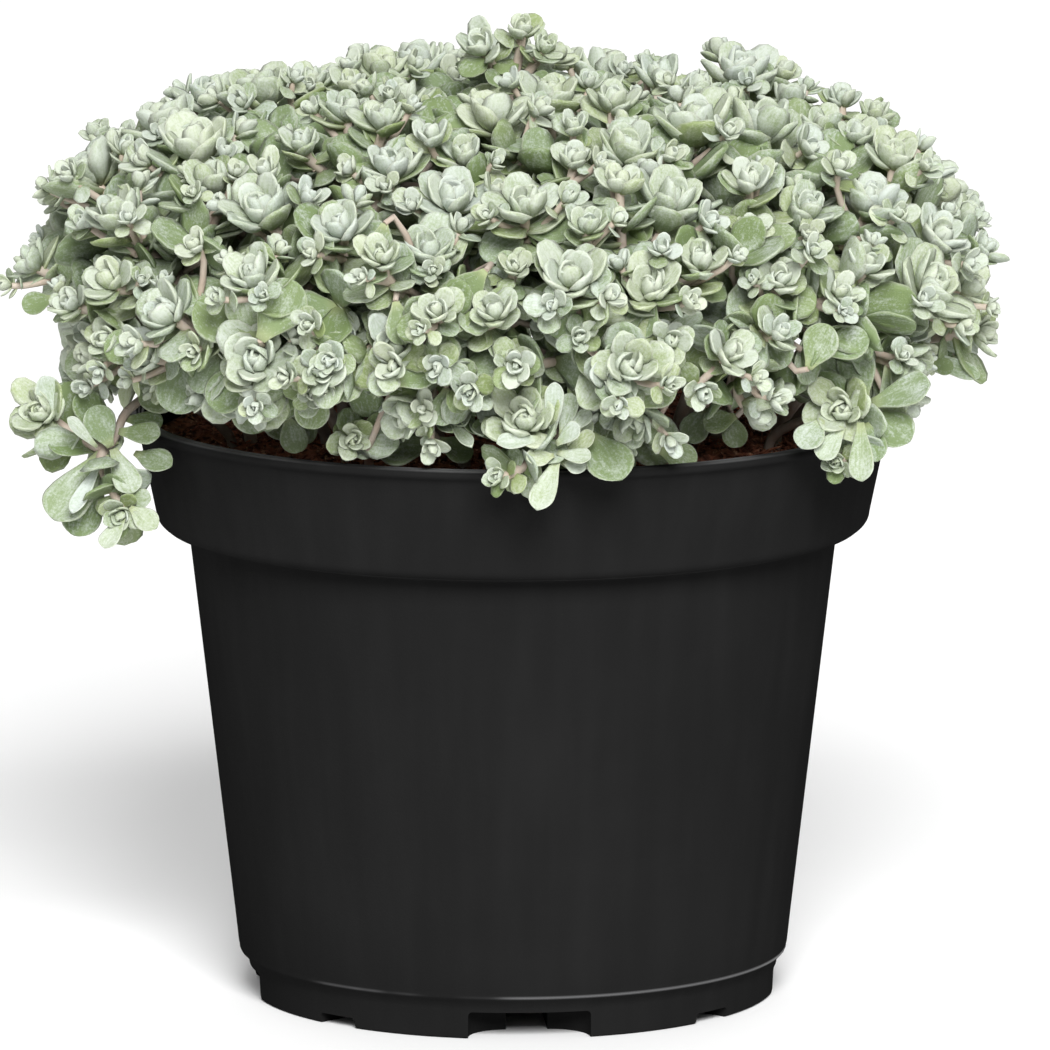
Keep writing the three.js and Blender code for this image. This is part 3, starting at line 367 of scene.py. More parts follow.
def mound_areas(steps=240):
    areas = [0.0]
    for i in range(1, steps + 1):
        ar, az = mound_outline((i - 1) / steps * MOUND_LAST_ANGLE)
        br, bz = mound_outline(i / steps * MOUND_LAST_ANGLE)
        areas.append(areas[-1] + (ar + br) * math.hypot(br - ar, bz - az))
    return areas


MOUND_AREAS = mound_areas()


def mound_angle(share):
    """The angle on the outline that has the given share of the mound's area above it."""
    steps = len(MOUND_AREAS) - 1
    wanted = share * MOUND_AREAS[steps]
    i = 1
    while i < steps and MOUND_AREAS[i] < wanted:
        i += 1
    part = (wanted - MOUND_AREAS[i - 1]) / (MOUND_AREAS[i] - MOUND_AREAS[i - 1])
    return (i - 1 + part) / steps * MOUND_LAST_ANGLE


def mound_point(angle, azimuth):
    r, z = mound_outline(angle)
    return vec(r * math.cos(azimuth), r * math.sin(azimuth), z)


def sight_point(across, height, y):
    return vec(across, y, SIGHT_HEIGHT + (height - y * math.sin(SIGHT_SLOPE)) / math.cos(SIGHT_SLOPE))


def seen_point(across, height):
    """The point of the mound on a line of sight from the front, or the one nearest to the line."""
    best = sight_point(across, height, 0)
    y = -85.0
    while y < 30:
        point = sight_point(across, height, y)
        if mound_level(point) < mound_level(best):
            best = point
        if mound_level(point) <= 1:
            return point
        y += 0.5
    return best


def seen_heads():
    heads = []
    for index, (across, height, size) in enumerate(SEEN_ROSETTES):
        start = seen_point(across, height)
        axis = unit(mound_facing(start) + vec(0, -0.3, 0.2))
        head = Head(index, start, axis, size * FULLNESS)
        head.start = start
        head.depth = spread(index, 8, 2) + 1
        head.centre = start + SIGHT * head.depth
        heads.append(head)
    return heads


def settle(seen, fixed):
    """Seen rosettes that crowd each other move apart, towards the eye or away from it."""
    heads = fixed + seen
    for _ in range(SETTLING_PASSES):
        push = [0.0] * len(heads)
        for i, a in enumerate(heads):
            for j in range(i + 1, len(heads)):
                b = heads[j]
                wanted = CROWDING * (a.radius + b.radius) + BODY_GAP
                between = a.centre - b.centre
                apart = between @ between
                if apart >= wanted ** 2:
                    continue
                deep = between @ SIGHT
                beside = apart - deep ** 2
                step = 0.25 * (math.sqrt(wanted ** 2 - beside) - abs(deep)) * (-1 if deep < 0 else 1)
                push[i] += step
                push[j] -= step
        for head, moved in zip(heads[len(fixed):], push[len(fixed):]):
            head.depth = clamp(head.depth + moved, -3, 9)
            head.centre = head.start + SIGHT * head.depth


def fill_heads(taken):
    """The rest of the mound fills up with large rosettes first, then with smaller ones."""
    heads = []
    for turn, size in enumerate(FILL_SIZES):
        for k in range(FILL_TRIES):
            index = 100 + turn * FILL_TRIES + k
            start = mound_point(mound_angle((k + draw(index, 1)) / FILL_TRIES), index * GOLDEN)
            facing = mound_facing(start)
            centre = start + facing * (1 - 4 * draw(index, 2) ** 2)
            radius = size * (1 - 0.08 * draw(index, 3))
            if any(length(centre - head.centre) < CROWDING * (radius + head.radius) + BODY_GAP
                   for head in taken + heads):
                continue
            lean = vec(spread(index, 4, 0.25), spread(index, 5, 0.25), spread(index, 6, 0.15) + 0.2)
            heads.append(Head(index, centre, unit(facing + lean), radius))
    return heads


def free_shoots():
    shoots = []
    for name, root, stem, rosettes in FREE_SHOOTS:
        shoot = Shoot(name)
        shoot.root = vec(root[0], root[1], 0)
        shoot.stem = [vec(*point) for point in stem]
        shoot.heads = [Head(300 + i, vec(*centre), unit(vec(*axis)), radius)
                       for i, (centre, axis, radius) in enumerate(rosettes)]
        shoots.append(shoot)
    return shoots


def turn_head(head, fork):
    """A rosette never faces back along its own stalk."""
    away = unit(head.centre - fork)
    while head.axis @ away < LEAST_FACING:
        head.axis = unit(head.axis + 0.1 * away)


def share_room(shoots):
    """Where two rosettes are still too close, both get smaller."""
    heads = [head for shoot in shoots for head in shoot.heads]
    rooms = []
    for head in heads:
        room = head.radius
        for other in heads:
            if other is not head:
                space = (length(head.centre - other.centre) - BODY_GAP) / CROWDING
                room = min(room, space * head.radius / (head.radius + other.radius))
        rooms.append(room)
    for head, room in zip(heads, rooms):
        head.radius = room


def collar_reach(shoot, shoots):
    """How far the old leaves round a stem can reach before they touch another shoot."""
    reach = COLLAR_LEAF
    for other in shoots:
        if other is shoot:
            continue
        ground = vec(other.root[0], other.root[1], SOIL_EDGE_HEIGHT)
        fork = other.stem[-1]
        line = [ground, *other.stem, other.heads[0].neck()]
        for start, end in zip(line, line[1:]):
            for step in range(7):
                point = start + (end - start) * step / 6
                reach = min(reach, length(point - shoot.collar) - STEM_RADIUS - BODY_GAP)
        for head in other.heads:
            for step in range(1, 7):
                point = fork + (head.neck() - fork) * step / 6
                reach = min(reach, length(point - shoot.collar) - STALK_RADIUS - BODY_GAP)
            reach = min(reach, length(head.centre - shoot.collar) - 0.75 * head.radius - BODY_GAP)
        if other.collar is not None:
            reach = min(reach, 0.5 * length(other.collar - shoot.collar) - 0.5 * BODY_GAP)
    return max(reach, 3.5)


def plant_plan():
    free = free_shoots()
    fixed = [head for shoot in free for head in shoot.heads]
    guards = [Head(0, point, None, 3.0) for shoot in free[:4] for point in shoot.stem]
    seen = seen_heads()
    settle(seen, fixed + guards)
    fill = fill_heads(fixed + guards + seen)
    tips = []
    for i in range(SHOOTS):
        tip = Shoot()
        tip.share = (i + 0.5) / SHOOTS
        tip.centre = mound_point(mound_angle(tip.share), i * GOLDEN + 0.5)
        tips.append(tip)
    for head in seen + fill:
        min(tips, key=lambda tip: length(tip.centre - head.centre)).heads.append(head)
    shoots = [tip for tip in tips if tip.heads]
    for number, shoot in enumerate(shoots, 1):
        shoot.name = f"shoot_{number:02d}"
        middle = sum(head.centre for head in shoot.heads) / len(shoot.heads)
        shoot.heads.sort(key=lambda head: 0.35 * length(head.centre - middle) - head.radius)
        azimuth = math.atan2(middle[1], middle[0])
        root_reach = ROOT_REACH * math.sqrt(shoot.share)
        shoot.root = vec(root_reach * math.cos(azimuth), root_reach * math.sin(azimuth), 0)
        facing = mound_facing(middle)
        facing[2] = max(facing[2], FORK_SLOPE)
        fork = middle - FORK_DEPTH * unit(facing)
        fork[2] = max(fork[2], FORK_LOWEST)
        bend = shoot.root + 0.4 * (fork - shoot.root)
        bend[2] = SOIL_EDGE_HEIGHT + 0.62 * (fork[2] - SOIL_EDGE_HEIGHT)
        shoot.stem = [bend, fork]
        shoot.collar = fork + COLLAR_DROP * unit(bend - fork)
    shoots = free + shoots
    for shoot in shoots:
        for head in shoot.heads:
            turn_head(head, shoot.stem[-1])
    share_room(shoots)
    for shoot in shoots[len(free):]:
        shoot.reach = collar_reach(shoot, shoots)
    return shoots


def soil_height(x, y):
    """Height of the peat's surface: highest in the middle and uneven all over."""
    r = math.hypot(x, y) / COLLAR_TOP_RADIUS
    lumps = math.sin(x * 0.31 + 1.1) * math.sin(y * 0.27) + 0.6 * math.sin(x * 0.53 - y * 0.61)
    return SOIL_EDGE_HEIGHT + SOIL_CROWN * (1 - r * r) + 0.5 * SOIL_ROUGHNESS * lumps


# Node trees

class Value:
    """A socket of a node tree that takes part in arithmetic."""

    def __init__(self, graph, socket):
        self.graph = graph
        self.socket = socket

    def _with(self, operation, *others):
        return self.graph.math(operation, self, *others)

    def __add__(self, other):
        return self._with("ADD", other)

    __radd__ = __add__

    def __mul__(self, other):
        return self._with("MULTIPLY", other)

    __rmul__ = __mul__

    def __sub__(self, other):
        return self._with("SUBTRACT", other)

    def __rsub__(self, other):
        return self.graph.math("SUBTRACT", other, self)

    def __truediv__(self, other):
        return self._with("DIVIDE", other)

    def __pow__(self, other):
        return self._with("POWER", other)

    def clamped(self):
        return self.graph.math("MINIMUM", self.graph.math("MAXIMUM", self, 0.0), 1.0)

    def between(self, low, high):
        """0 at the low value, 1 at the high one, and smooth in between."""
        part = self.graph.node("ShaderNodeMapRange", {"interpolation_type": "SMOOTHSTEP"}, {
            "Value": self, "From Min": low, "From Max": high})
        return part.out("Result")


class Made:
    """A node that was added, whose outputs are asked for by name."""

    def __init__(self, graph, node):
        self.graph = graph
        self.node = node

    def out(self, name):
        for socket in self.node.outputs:
            if socket.name == name and socket.enabled:
                return Value(self.graph, socket)
        raise KeyError(name)


class Graph:
    """Adds nodes to a tree: each by its type, its settings and what its sockets take."""

    def __init__(self, tree):
        self.tree = tree

    def node(self, kind, settings=None, sockets=None):
        node = self.tree.nodes.new(kind)
        for name, value in (settings or {}).items():
            setattr(node, name, value)
        for name, value in (sockets or {}).items():
            if isinstance(name, int):
                socket = node.inputs[name]
            else:
                socket = next(s for s in node.inputs if s.name == name and s.enabled)
            if isinstance(value, Value):
                self.tree.links.new(value.socket, socket)
            elif socket.type == "RGBA":
                socket.default_value = (*value[:3], 1.0)
            else:
                socket.default_value = value
        return Made(self, node)

    def math(self, operation, *values):
        made = self.node("ShaderNodeMath", {"operation": operation}, dict(enumerate(values)))
        return made.out("Value")

    def mix(self, factor, one, other):
        """A colour between two colours."""
        made = self.node("ShaderNodeMix", {"data_type": "RGBA"}, {
            "Factor": factor, "A": one, "B": other})
        return made.out("Result")

    def vector(self, operation, *values):
        made = self.node("ShaderNodeVectorMath", {"operation": operation}, dict(enumerate(values)))
        return made.out("Vector")

    def attribute(self, name):
        return self.node("ShaderNodeAttribute", {"attribute_name": name}).out("Fac")

    def noise(self, place, scale, detail=2.0, roughness=0.5):
        made = self.node("ShaderNodeTexNoise", None, {
            "Vector": place, "Scale": scale, "Detail": detail, "Roughness": roughness})
        return made.out("Fac")

    def place(self):
        return self.node("ShaderNodeTexCoord").out("Object")


def new_material(name):
    material = bpy.data.materials.new(name)
    material.use_nodes = True
    material.node_tree.nodes.clear()
    return material, Graph(material.node_tree)


def finish_material(graph, sockets, constants):
    """Ends a material in one shader. Its constants are set on the shader's own sockets."""
    shader = graph.node("ShaderNodeBsdfPrincipled", None, {**sockets, **constants})
    graph.node("ShaderNodeOutputMaterial", None, {"Surface": shader.out("BSDF")})


def bump(graph, height, strength, distance):
    return graph.node("ShaderNodeBump", None, {
        "Height": height, "Strength": strength, "Distance": distance}).out("Normal")


def stretched_noise(graph, place, shape, scale, detail, turn=0.0):
    """Noise in a space that is squeezed along its axes and then turned about Z."""
    space = graph.node("ShaderNodeMapping", None, {
        "Vector": place, "Scale": shape, "Rotation": (0.0, 0.0, turn)}).out("Vector")
    return graph.noise(space, scale, detail)


# Materials

def leaf_material(plant):
    """A thick leaf under a pale powder that thins with age, in streaks and patches, and at its foot."""
    material, graph = new_material("powdery leaf")
    place = graph.place()
    age = graph.attribute("age")
    tint = graph.attribute("tint")
    side = graph.attribute("side")
    along = graph.attribute("along")
    on_leaf = graph.node("ShaderNodeCombineXYZ", None, {
        "X": along * 3.2, "Y": side * 5.5, "Z": age * 37.0 + tint * 61.0}).out("Vector")
    streaks = graph.noise(on_leaf, 1.0, 4.0, 0.68)
    blotches = graph.noise(place, 260.0, 2.0, 0.55)
    specks = graph.noise(place, 2600.0, 3.0, 0.7)
    grain = graph.noise(place, 7000.0, 1.0)
    flesh = graph.mix(age, plant.young_flesh, plant.old_flesh)
    flesh = graph.mix((tint * (0.6 - 0.3 * age)).clamped(), flesh, plant.warm_flesh)
    powder = (0.98 - 0.98 * age + 1.2 * (blotches - 0.5) + 1.8 * (specks - 0.5) + 1.7 * (streaks - 0.5)
              - 0.3 * (1 - along).clamped() ** 3.0).clamped()
    bloom = graph.mix((tint * 0.7).clamped(), plant.powder, plant.warm_powder)
    body = graph.mix(powder * plant.powder_cover, flesh, bloom)
    edge = (graph.math("ABSOLUTE", side).between(0.84, 1.0) * (0.9 - 0.5 * age)).clamped()
    body = graph.mix(edge * 0.8, body, plant.leaf_edge)
    foot = (1 - along.between(0.0, 0.3)) * 0.5
    body = graph.mix(foot, body, plant.leaf_foot)
    finish_material(graph, {
        "Base Color": body,
        "Roughness": 0.62 + 0.22 * powder + 0.1 * (specks - 0.5),
        "Normal": bump(graph, 0.6 * specks + 0.4 * grain, 0.65, 0.00022),
    }, {"Specular IOR Level": 0.35})
    return material


def stem_material(plant):
    """Pinkish stems: pale and powdery near the rosettes, browner and scarred lower down, and darker there
    with painted shade.
    """
    material, graph = new_material("pink stem")
    place = graph.place()
    age = graph.attribute("age")
    streaks = stretched_noise(graph, place, (1.0, 1.0, 0.25), 900.0, 3.0)
    scars = graph.noise(place, 420.0, 2.0).between(0.56, 0.7)
    # Lower down, the colour turns to the old stem's brown, which is also darkened as painted shade near the
    # peat
    colour = graph.mix(age, plant.young_stem, plant.old_stem_and_painted_shade)
    colour = graph.mix((streaks - 0.35).clamped() * 0.6, colour, plant.powder)
    colour = graph.mix(scars * (0.2 + 0.5 * age), colour, plant.stem_scar)
    finish_material(graph, {
        "Base Color": colour,
        "Roughness": 0.6 + 0.2 * streaks,
        "Normal": bump(graph, streaks + 0.6 * scars, 0.5, 0.00025),
    }, {"Specular IOR Level": 0.4})
    return material


def plastic_material(pot):
    """Matte black plastic with the fine grain of its mould, glossier in patches along the seam over the foot
    and along the lip, where a painted highlight also lightens its colour.
    """
    material, graph = new_material("black plastic")
    place = graph.place()
    height = graph.node("ShaderNodeSeparateXYZ", None, {"Vector": place}).out("Z")
    grain = graph.noise(place, 2600.0, 2.0, 0.6)
    orange_peel = graph.noise(place, 620.0, 2.0)
    haze = graph.noise(place, 34.0, 3.0)
    streaks = stretched_noise(graph, place, (1.0, 1.0, 0.05), 240.0, 2.0)
    colour = graph.mix((haze * 0.6 + streaks * 0.4).between(0.35, 0.75), pot.plastic, pot.plastic_haze)
    # Painted highlight: in patches along the seam over the foot and the top of the lip, the colour is
    # lightened to grey to stand in for the thin bright lines that light draws there. The lower roughness and
    # the coat there are real gloss.
    shine_patches = haze.between(0.38, 0.56)
    seam = 1 - graph.math("ABSOLUTE", height - BODY_FOOT_HEIGHT * MM) / (0.32 * MM)
    lip = height.between((POT_HEIGHT - 0.35) * MM, (POT_HEIGHT - 0.02) * MM)
    shine_and_painted_highlight = graph.math("MAXIMUM", seam, lip * 0.8).clamped() * shine_patches
    colour = graph.mix(shine_and_painted_highlight, colour, pot.painted_edge_highlight)
    finish_material(graph, {
        "Base Color": colour,
        "Roughness": pot.roughness + 0.1 * (haze - 0.5) + 0.08 * (grain - 0.5) - 0.2 * shine_and_painted_highlight,
        "Coat Weight": shine_and_painted_highlight * 0.5,
        "Normal": bump(graph, 0.65 * grain + 0.35 * orange_peel, 0.3, 0.0002),
    }, {"Specular IOR Level": pot.gloss, "Coat Roughness": 0.25})
    return material


def peat_material(soil):
    """Dark reddish-brown peat with paler fibres, almost black in the hollows of its lumps."""
    material, graph = new_material("peat")
    place = graph.place()
    lumps = graph.noise(place, 420.0, 5.0, 0.65)
    crumbs = graph.node("ShaderNodeTexVoronoi", None, {"Vector": place, "Scale": 750.0}).out("Distance")
    fibres = stretched_noise(graph, place, (1.0, 0.2, 1.0), 1400.0, 2.0, 0.6).between(0.6, 0.72)
    # Darker, almost black where the lumps of the bump are low
    colour = graph.mix(lumps.between(0.36, 0.66), soil.sunken, soil.peat)
    colour = graph.mix(fibres * 0.7, colour, soil.fibre)
    finish_material(graph, {
        "Base Color": colour,
        "Roughness": 0.8 + 0.18 * lumps,
        "Normal": bump(graph, lumps + 0.5 * crumbs, 0.9, 0.0008),
    }, {"Specular IOR Level": 0.25})
    return material


def floor_material(stage):
    """A pale, even floor that is a little darker in places."""
    material, graph = new_material("pale floor")
    dust = graph.noise(graph.place(), 2.0, 2.0)
    colour = graph.mix(dust * 0.15, stage.floor, tuple(0.97 * c for c in stage.floor))
    finish_material(graph, {"Base Color": colour, "Roughness": 0.85 + 0.05 * dust},
                    {"Specular IOR Level": 0.2})
    return material


# Meshes

def in_metres(points):
    return [tuple(float(c) * MM for c in point) for point in points]


def store(mesh, label, kind, values):
    """Gives every point of a mesh a value for the node trees and materials to read."""
    field = "vector" if kind == "FLOAT_VECTOR" else "value"
    mesh.attributes.new(label, kind, "POINT").data.foreach_set(field, values)


def mesh_from(name, points, faces, smooth=True):
    """A mesh from points in millimetres."""
    mesh = bpy.data.meshes.new(name)
    mesh.from_pydata(in_metres(points), [], faces)
    mesh.polygons.foreach_set("use_smooth", [smooth] * len(faces))
    mesh.update()
    return mesh


def in_scene(name, data):
    item = bpy.data.objects.new(name, data)
    bpy.context.scene.collection.objects.link(item)
    return item


def add_piece(name, mesh, slot, *nodes):
    """Puts a finished piece in the scene, in the place of the nodes it stands for."""
    piece = in_scene(name, mesh)
    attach(piece, "root")
    if nodes:
        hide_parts(*nodes)
    return piece


def turned_rows(points, profile, sides):
    """Adds the points of a profile turned round the Z axis, and gives a row of indices a level."""
    rows = []
    for r, z in profile:
        if r < 1e-6:
            rows.append([len(points)])
            points.append((0, 0, z))
        else:
            rows.append(range(len(points), len(points) + sides))
            for k in range(sides):
                turn = 2 * math.pi * k / sides
                points.append((r * math.cos(turn), r * math.sin(turn), z))
    return rows


def faces_between(rows, sides):
    """The faces that join each row of points to the next, where a row may be a single point."""
    faces = []
    for low, high in zip(rows, rows[1:]):
        for k in range(sides):
            n = (k + 1) % sides
            if len(low) == 1:
                faces.append((low[0], high[n], high[k]))
            elif len(high) == 1:
                faces.append((low[k], low[n], high[0]))
            else:
                faces.append((low[k], low[n], high[n], high[k]))
    return faces


def turned_mesh(name, profile, sides):
    """A closed shell turned round the Z axis from a closed profile of radii and heights."""
    points = []
    rows = turned_rows(points, profile, sides)
    return mesh_from(name, points, faces_between(rows, sides))


def prism_mesh(name, outline, bottom, top):
    count = len(outline)
    points = [(x, y, bottom) for x, y in outline] + [(x, y, top) for x, y in outline]
    faces = [tuple(reversed(range(count))), tuple(range(count, 2 * count))]
    for k in range(count):
        n = (k + 1) % count
        faces.append((k, n, count + n, count + k))
    return mesh_from(name, points, faces, smooth=False)


def turned_outline(outline, angle):
    c, s = math.cos(angle), math.sin(angle)
    return [(x * c - y * s, x * s + y * c) for x, y in outline]


def round_outline(x, y, radius, sides):
    return [(x + radius * math.cos(2 * math.pi * k / sides), y + radius * math.sin(2 * math.pi * k / sides))
            for k in range(sides)]


def arc(centre, radius, start, end, steps):
    """Points of a rounded corner of a profile, angles in degrees."""
    return [(centre[0] + radius * math.cos(math.radians(start + (end - start) * k / steps)),
             centre[1] + radius * math.sin(math.radians(start + (end - start) * k / steps)))
            for k in range(steps + 1)]


# Pot

def pot_profile(pot):
    """The pot's section from the middle of its underside, round the rim and down the inside."""
    lip = POT_HEIGHT
    groove = pot.lip_groove / MM
    outside = [
        (0, 0), (FOOT_RADIUS - 6, 0), (FOOT_RADIUS - 0.6, 0),
        (FOOT_RADIUS - 0.15, 0.25), (FOOT_RADIUS, 0.9),
        (FOOT_RADIUS + 0.2, BODY_FOOT_HEIGHT - 2.2),
        (FOOT_RADIUS + 0.5, BODY_FOOT_HEIGHT - 1.5),
        (BODY_FOOT_RADIUS - 0.55, BODY_FOOT_HEIGHT - 0.65),
        (BODY_FOOT_RADIUS - 0.12, BODY_FOOT_HEIGHT - 0.28),
        (BODY_FOOT_RADIUS, BODY_FOOT_HEIGHT),
        (BODY_FOOT_RADIUS - 0.02, BODY_FOOT_HEIGHT + 0.35),
        (BODY_FOOT_RADIUS + 0.12, BODY_FOOT_HEIGHT + 0.8),
    ]
    rise = COLLAR_FOOT_HEIGHT - BODY_FOOT_HEIGHT
    for k in range(1, 12):
        part = k / 12
        outside.append((BODY_FOOT_RADIUS + (BODY_TOP_RADIUS - BODY_FOOT_RADIUS) * part,
                        BODY_FOOT_HEIGHT + rise * part))
    outside += [
        (BODY_TOP_RADIUS - 0.12, COLLAR_FOOT_HEIGHT - 1.2),
        (BODY_TOP_RADIUS - 0.02, COLLAR_FOOT_HEIGHT - 0.35),
        (BODY_TOP_RADIUS + 0.3, COLLAR_FOOT_HEIGHT),
        (BODY_TOP_RADIUS + 2, COLLAR_FOOT_HEIGHT),
    ]
    outside += arc((COLLAR_FOOT_RADIUS - 1.9, COLLAR_FOOT_HEIGHT + 2.0), 2.0, -90, 0, 7)
    for k in range(1, 6):
        part = k / 6
        z = COLLAR_FOOT_HEIGHT + 2 + (POT_HEIGHT - 1.9 - COLLAR_FOOT_HEIGHT - 2.4) * part
        outside.append((COLLAR_FOOT_RADIUS + 0.1 + (COLLAR_TOP_RADIUS - COLLAR_FOOT_RADIUS - 0.2) * part, z))
    outside += [
        (COLLAR_TOP_RADIUS, POT_HEIGHT - 1.9),
        (COLLAR_TOP_RADIUS + 0.25, POT_HEIGHT - 1.65),
        (RIM_RADIUS - 0.3, POT_HEIGHT - 1.35),
    ]
    outside += arc((RIM_RADIUS - 0.75, POT_HEIGHT - 0.75), 0.75, -20, 90, 7)
    inner_edge = COLLAR_TOP_RADIUS - WALL
    for ring in (0.72, 0.38):
        middle = inner_edge + ring * (RIM_RADIUS - 0.9 - inner_edge)
        outside += [(middle + groove, lip), (middle, lip - groove), (middle - groove, lip)]
    outside += arc((inner_edge + 0.3, lip - 0.3), 0.3, 90, 180, 4)
    step = COLLAR_FOOT_HEIGHT - WALL
    inside = [
        (COLLAR_TOP_RADIUS - WALL - 0.05, POT_HEIGHT - BEAD_HEIGHT + 0.6),
        (COLLAR_TOP_RADIUS - WALL + 0.1, POT_HEIGHT - BEAD_HEIGHT + 0.2),
        (COLLAR_TOP_RADIUS - WALL, POT_HEIGHT - BEAD_HEIGHT),
        (COLLAR_FOOT_RADIUS - WALL, step + WALL),
        (BODY_TOP_RADIUS - WALL, step),
        (BODY_FOOT_RADIUS - WALL, FLOOR_TOP),
        (0, FLOOR_TOP),
    ]
    return outside + inside


def pot_cutters():
    """The drainage channels, the shallow notches, the ring round the middle pad and the drains."""
    def corner(side):
        return [(FOOT_RADIUS - 1.6 - CHANNEL_CORNER * math.sin(k / 8 * math.pi / 2),
                 side * (CHANNEL_WIDTH / 2 + CHANNEL_CORNER * math.cos(k / 8 * math.pi / 2)))
                for k in range(9)]
    inner = CENTRE_PAD_RADIUS + 1.5
    channel = [
        (FOOT_RADIUS + 3, -NOTCH_MOUTH / 2), (FOOT_RADIUS + 3, NOTCH_MOUTH / 2), *corner(1),
        (inner, CHANNEL_WIDTH / 2), (inner, -CHANNEL_WIDTH / 2), *reversed(corner(-1)),
    ]
    recess = [
        (FOOT_RADIUS - 9, -RECESS_WIDTH / 2), (FOOT_RADIUS + 3, -RECESS_WIDTH / 2),
        (FOOT_RADIUS + 3, RECESS_WIDTH / 2), (FOOT_RADIUS - 9, RECESS_WIDTH / 2),
    ]
    cutters = [turned_mesh("ring cut", [
        (CENTRE_PAD_RADIUS, -1), (CENTRE_RING_RADIUS, -1), (CENTRE_RING_RADIUS, FLOOR_UNDERSIDE),
        (CENTRE_PAD_RADIUS, FLOOR_UNDERSIDE), (CENTRE_PAD_RADIUS, -1)], 64)]
    for k in range(4):
        angle = NOTCH_TURN - math.pi / 2 + k * math.pi / 2
        cutters.append(softened(prism_mesh("channel cut", turned_outline(channel, angle), -1,
                                           FLOOR_UNDERSIDE), FLOOR_UNDERSIDE))
        cutters.append(softened(prism_mesh("recess cut", turned_outline(recess, angle + math.pi / 4), -1,
                                           RECESS_HEIGHT), RECESS_HEIGHT))
        hole = round_outline(DRAIN_REACH, 0, DRAIN_RADIUS, 24)
        cutters.append(prism_mesh("drain cut", turned_outline(hole, angle), 2, FLOOR_TOP + 1))
    return cutters


def softened(mesh, top):
    """Rounds the upper edges of a cutter."""
    shape = bmesh.new()
    shape.from_mesh(mesh)
    edges = [edge for edge in shape.edges
             if all(abs(corner.co.z - top * MM) < 1e-6 for corner in edge.verts)]
    bmesh.ops.bevel(shape, geom=edges, offset=0.6 * MM, segments=3, profile=0.5, affect="EDGES")
    shape.to_mesh(mesh)
    shape.free()
    return mesh


def merged(mesh):
    """Welds doubled points and turns every face outwards."""
    shape = bmesh.new()
    shape.from_mesh(mesh)
    bmesh.ops.remove_doubles(shape, verts=shape.verts, dist=1e-7)
    bmesh.ops.recalc_face_normals(shape, faces=shape.faces)
    shape.to_mesh(mesh)
    shape.free()
    return mesh


def cut_away(mesh, cutters):
    """The mesh less all the cutters, as a plain mesh."""
    body = in_scene("pot blank", merged(mesh))
    tools = []
    for cutter in cutters:
        tool = in_scene("pot cutter", merged(cutter))
        cut = body.modifiers.new("cut", "BOOLEAN")
        cut.operation = "DIFFERENCE"
        cut.solver = "EXACT"
        cut.object = tool
        tools.append(tool)
    result = bpy.data.meshes.new_from_object(body.evaluated_get(bpy.context.evaluated_depsgraph_get()))
    for item in [body, *tools]:
        bpy.data.objects.remove(item)
    return result


# Leaves

# Where a leaf's outline is taken, for leaves that are repeated and for the few large ones: shares of
# the way to the middle of its round tip, and angles round that tip
PLAIN_STATIONS = ((0.0, 0.42, 0.76), (0, 42, 70))
FINE_STATIONS = ((0.0, 0.2, 0.4, 0.6, 0.8), (0, 17, 33, 48, 62, 75))
PLAIN_SECTION = [(-1, 0), (-0.66, 1), (0, 1), (0.66, 1), (1, 0), (0.52, -1), (-0.52, -1)]
FINE_SECTION = [(-1, 0), (-0.9, 0.6), (-0.66, 1), (-0.33, 1.05), (0, 1), (0.33, 1.05), (0.66, 1), (0.9, 0.6),
                (1, 0), (0.9, -0.6), (0.6, -1), (0, -1.1), (-0.6, -1), (-0.9, -0.6)]

# Shapes of leaf, by age: half width of the round end, half width of the foot, thickness, how far the
# sides cup upwards, how far the leaf curls upwards along its length, and how finely it is made
LEAF_SHAPES = [
    ("a heart leaf", 0.36, 0.13, 0.27, 0.42, 0.7, False),
    ("b full leaf", 0.35, 0.09, 0.22, 0.32, 0.5, False),
    ("c full leaf", 0.39, 0.09, 0.21, 0.28, 0.35, False),
    ("d old leaf", 0.39, 0.07, 0.17, 0.18, 0.3, False),
    ("e old leaf", 0.4, 0.07, 0.16, 0.18, -0.22, False),
    ("f large round leaf", 0.38, 0.08, 0.14, 0.2, 0.25, True),
    ("g large spoon leaf", 0.25, 0.07, 0.12, 0.25, 0.25, True),
]
YOUNG, FULL, WIDE, OLD, DROOPING, LARGE, SPOON = range(7)


